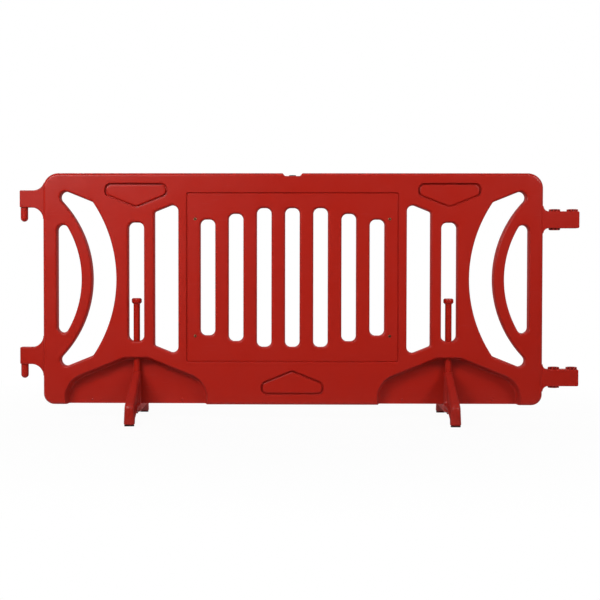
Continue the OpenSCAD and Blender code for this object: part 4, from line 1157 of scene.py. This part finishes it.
def foot(side):
    low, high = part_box(f"{side}_foot")
    x = (low.x + high.x) / 2 / MM
    most = np.where(foot_outline[:, 0] < GUSSET_BACK, GUSSET_EASE, BAR_EASE)
    ease = np.clip(LEAST_EASE + (foot_outline[:, 1] - PAD) / EASE_RISE, LEAST_EASE, most)
    body = moulded_plate(foot_outline, FOOT_HALF, FOOT_ROUND, FOOT_ROUND, FOOT_LEAN,
                         fields=[(pocket, pocket_steps, [])], ease=ease)
    points = []
    for y, depth, z in body.points:
        width = 1 - (1 - FOOT_TOP_HALF / FOOT_HALF) * z / FOOT_HEIGHT
        points.append((x - (depth - FOOT_HALF) * width, y, z))
    made = new_object(f"{side}_swing_foot", scaled(points), body.faces, foot_plastic)
    hub = [(0, HUB_BOTTOM), (HUB - 0.6, HUB_BOTTOM), (HUB, HUB_BOTTOM + 0.6)]
    hub += round_corner(HUB, FOOT_HEIGHT, HUB_ROUND, HUB_ROUND) + [(0, FOOT_HEIGHT)]
    combine(made, turned_object("hub_tool", hub, (x, 0), 48, foot_plastic), "UNION")
    bore = [(0, CLEAR), (TAIL_HOLE, CLEAR), (TAIL_HOLE, PIN_SEAT), (FOOT_BORE, PIN_SEAT),
            (FOOT_BORE, FOOT_HEIGHT + OVERRUN), (0, FOOT_HEIGHT + OVERRUN)]
    combine(made, turned_object("bore_tool", bore, (x, 0), 40, foot_plastic))
    return smooth(made)


for side in SIDES:
    fix(foot(side), f"{side}_foot", "foot_plastic", f"{side}_foot")

# %% [markdown]
# ## Foot pins
# A foot hangs on its pin, which slides in the panel: a plain rod with a thick bevelled head that a hand can
# lift it by, and a thin grooved tail under the foot for the washer and ring. It could be stacked cylinders
# with bevels, but turned from one profile it is a single skin with its rounded edges in the profile.

# %% Foot pins
TAIL, TAIL_GROOVE, GROOVE_LOW, GROOVE_TOP = 4, 3, 23.55, 25.2
PIN, PIN_BOTTOM, HEAD_HEIGHT = 11.75, 62.3, 20


def foot_pin(side):
    low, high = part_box(f"{side}_foot_pin")
    x, bottom, top = (low.x + high.x) / 2 / MM, low.z / MM, high.z / MM
    head, under = (high.x - low.x) / 2 / MM, top - HEAD_HEIGHT
    shape = [(0, bottom), (TAIL - 1, bottom), (TAIL, bottom + 1), (TAIL, GROOVE_LOW), (TAIL_GROOVE, GROOVE_LOW),
             (TAIL_GROOVE, GROOVE_TOP), (TAIL, GROOVE_TOP), (TAIL, PIN_BOTTOM)]
    shape += [(PIN - 0.85, PIN_BOTTOM), (PIN, PIN_BOTTOM + 0.8), (PIN, under - 1.2), (PIN + 0.35, under - 0.3),
              (PIN + 0.85, under)]
    shape += [(head - 4.6, under + 0.3), (head - 0.5, under + 4.6), (head, under + 5.6)]
    shape += round_corner(head, top, 6.0, 6.5, 7) + [(head - 11, top), (head - 12, top - 0.4), (0, top - 0.6)]
    return turned_object(f"{side}_lift_pin", shape, (x, 0), 64, pin_plastic)


for side in SIDES:
    fix(smooth(foot_pin(side), 32), f"{side}_pin", "foot_plastic", f"{side}_foot_pin")

# %% [markdown]
# ## Small solids that stay
# The washers, retaining rings and rubber pads are right as they are, so they keep their CAD shapes and only
# get their finishes.

# %% Finishes of the CAD nodes
KEPT = {"front_pad": pad_rubber, "rear_pad": pad_rubber, "pin_washer": zinc_steel, "pin_ring": zinc_steel}
for side in SIDES:
    for node, finish in KEPT.items():
        slots_of_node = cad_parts[f"{side}_{node}"].data.materials
        slots_of_node.clear()
        slots_of_node.append(finish)
print("kept nodes dressed", 2 * len(KEPT))

# %% [markdown]
# ## Colour management
# The view transform is Standard, so colours render about as they are written.

# %% View transform
scene.view_settings.view_transform = "Standard"
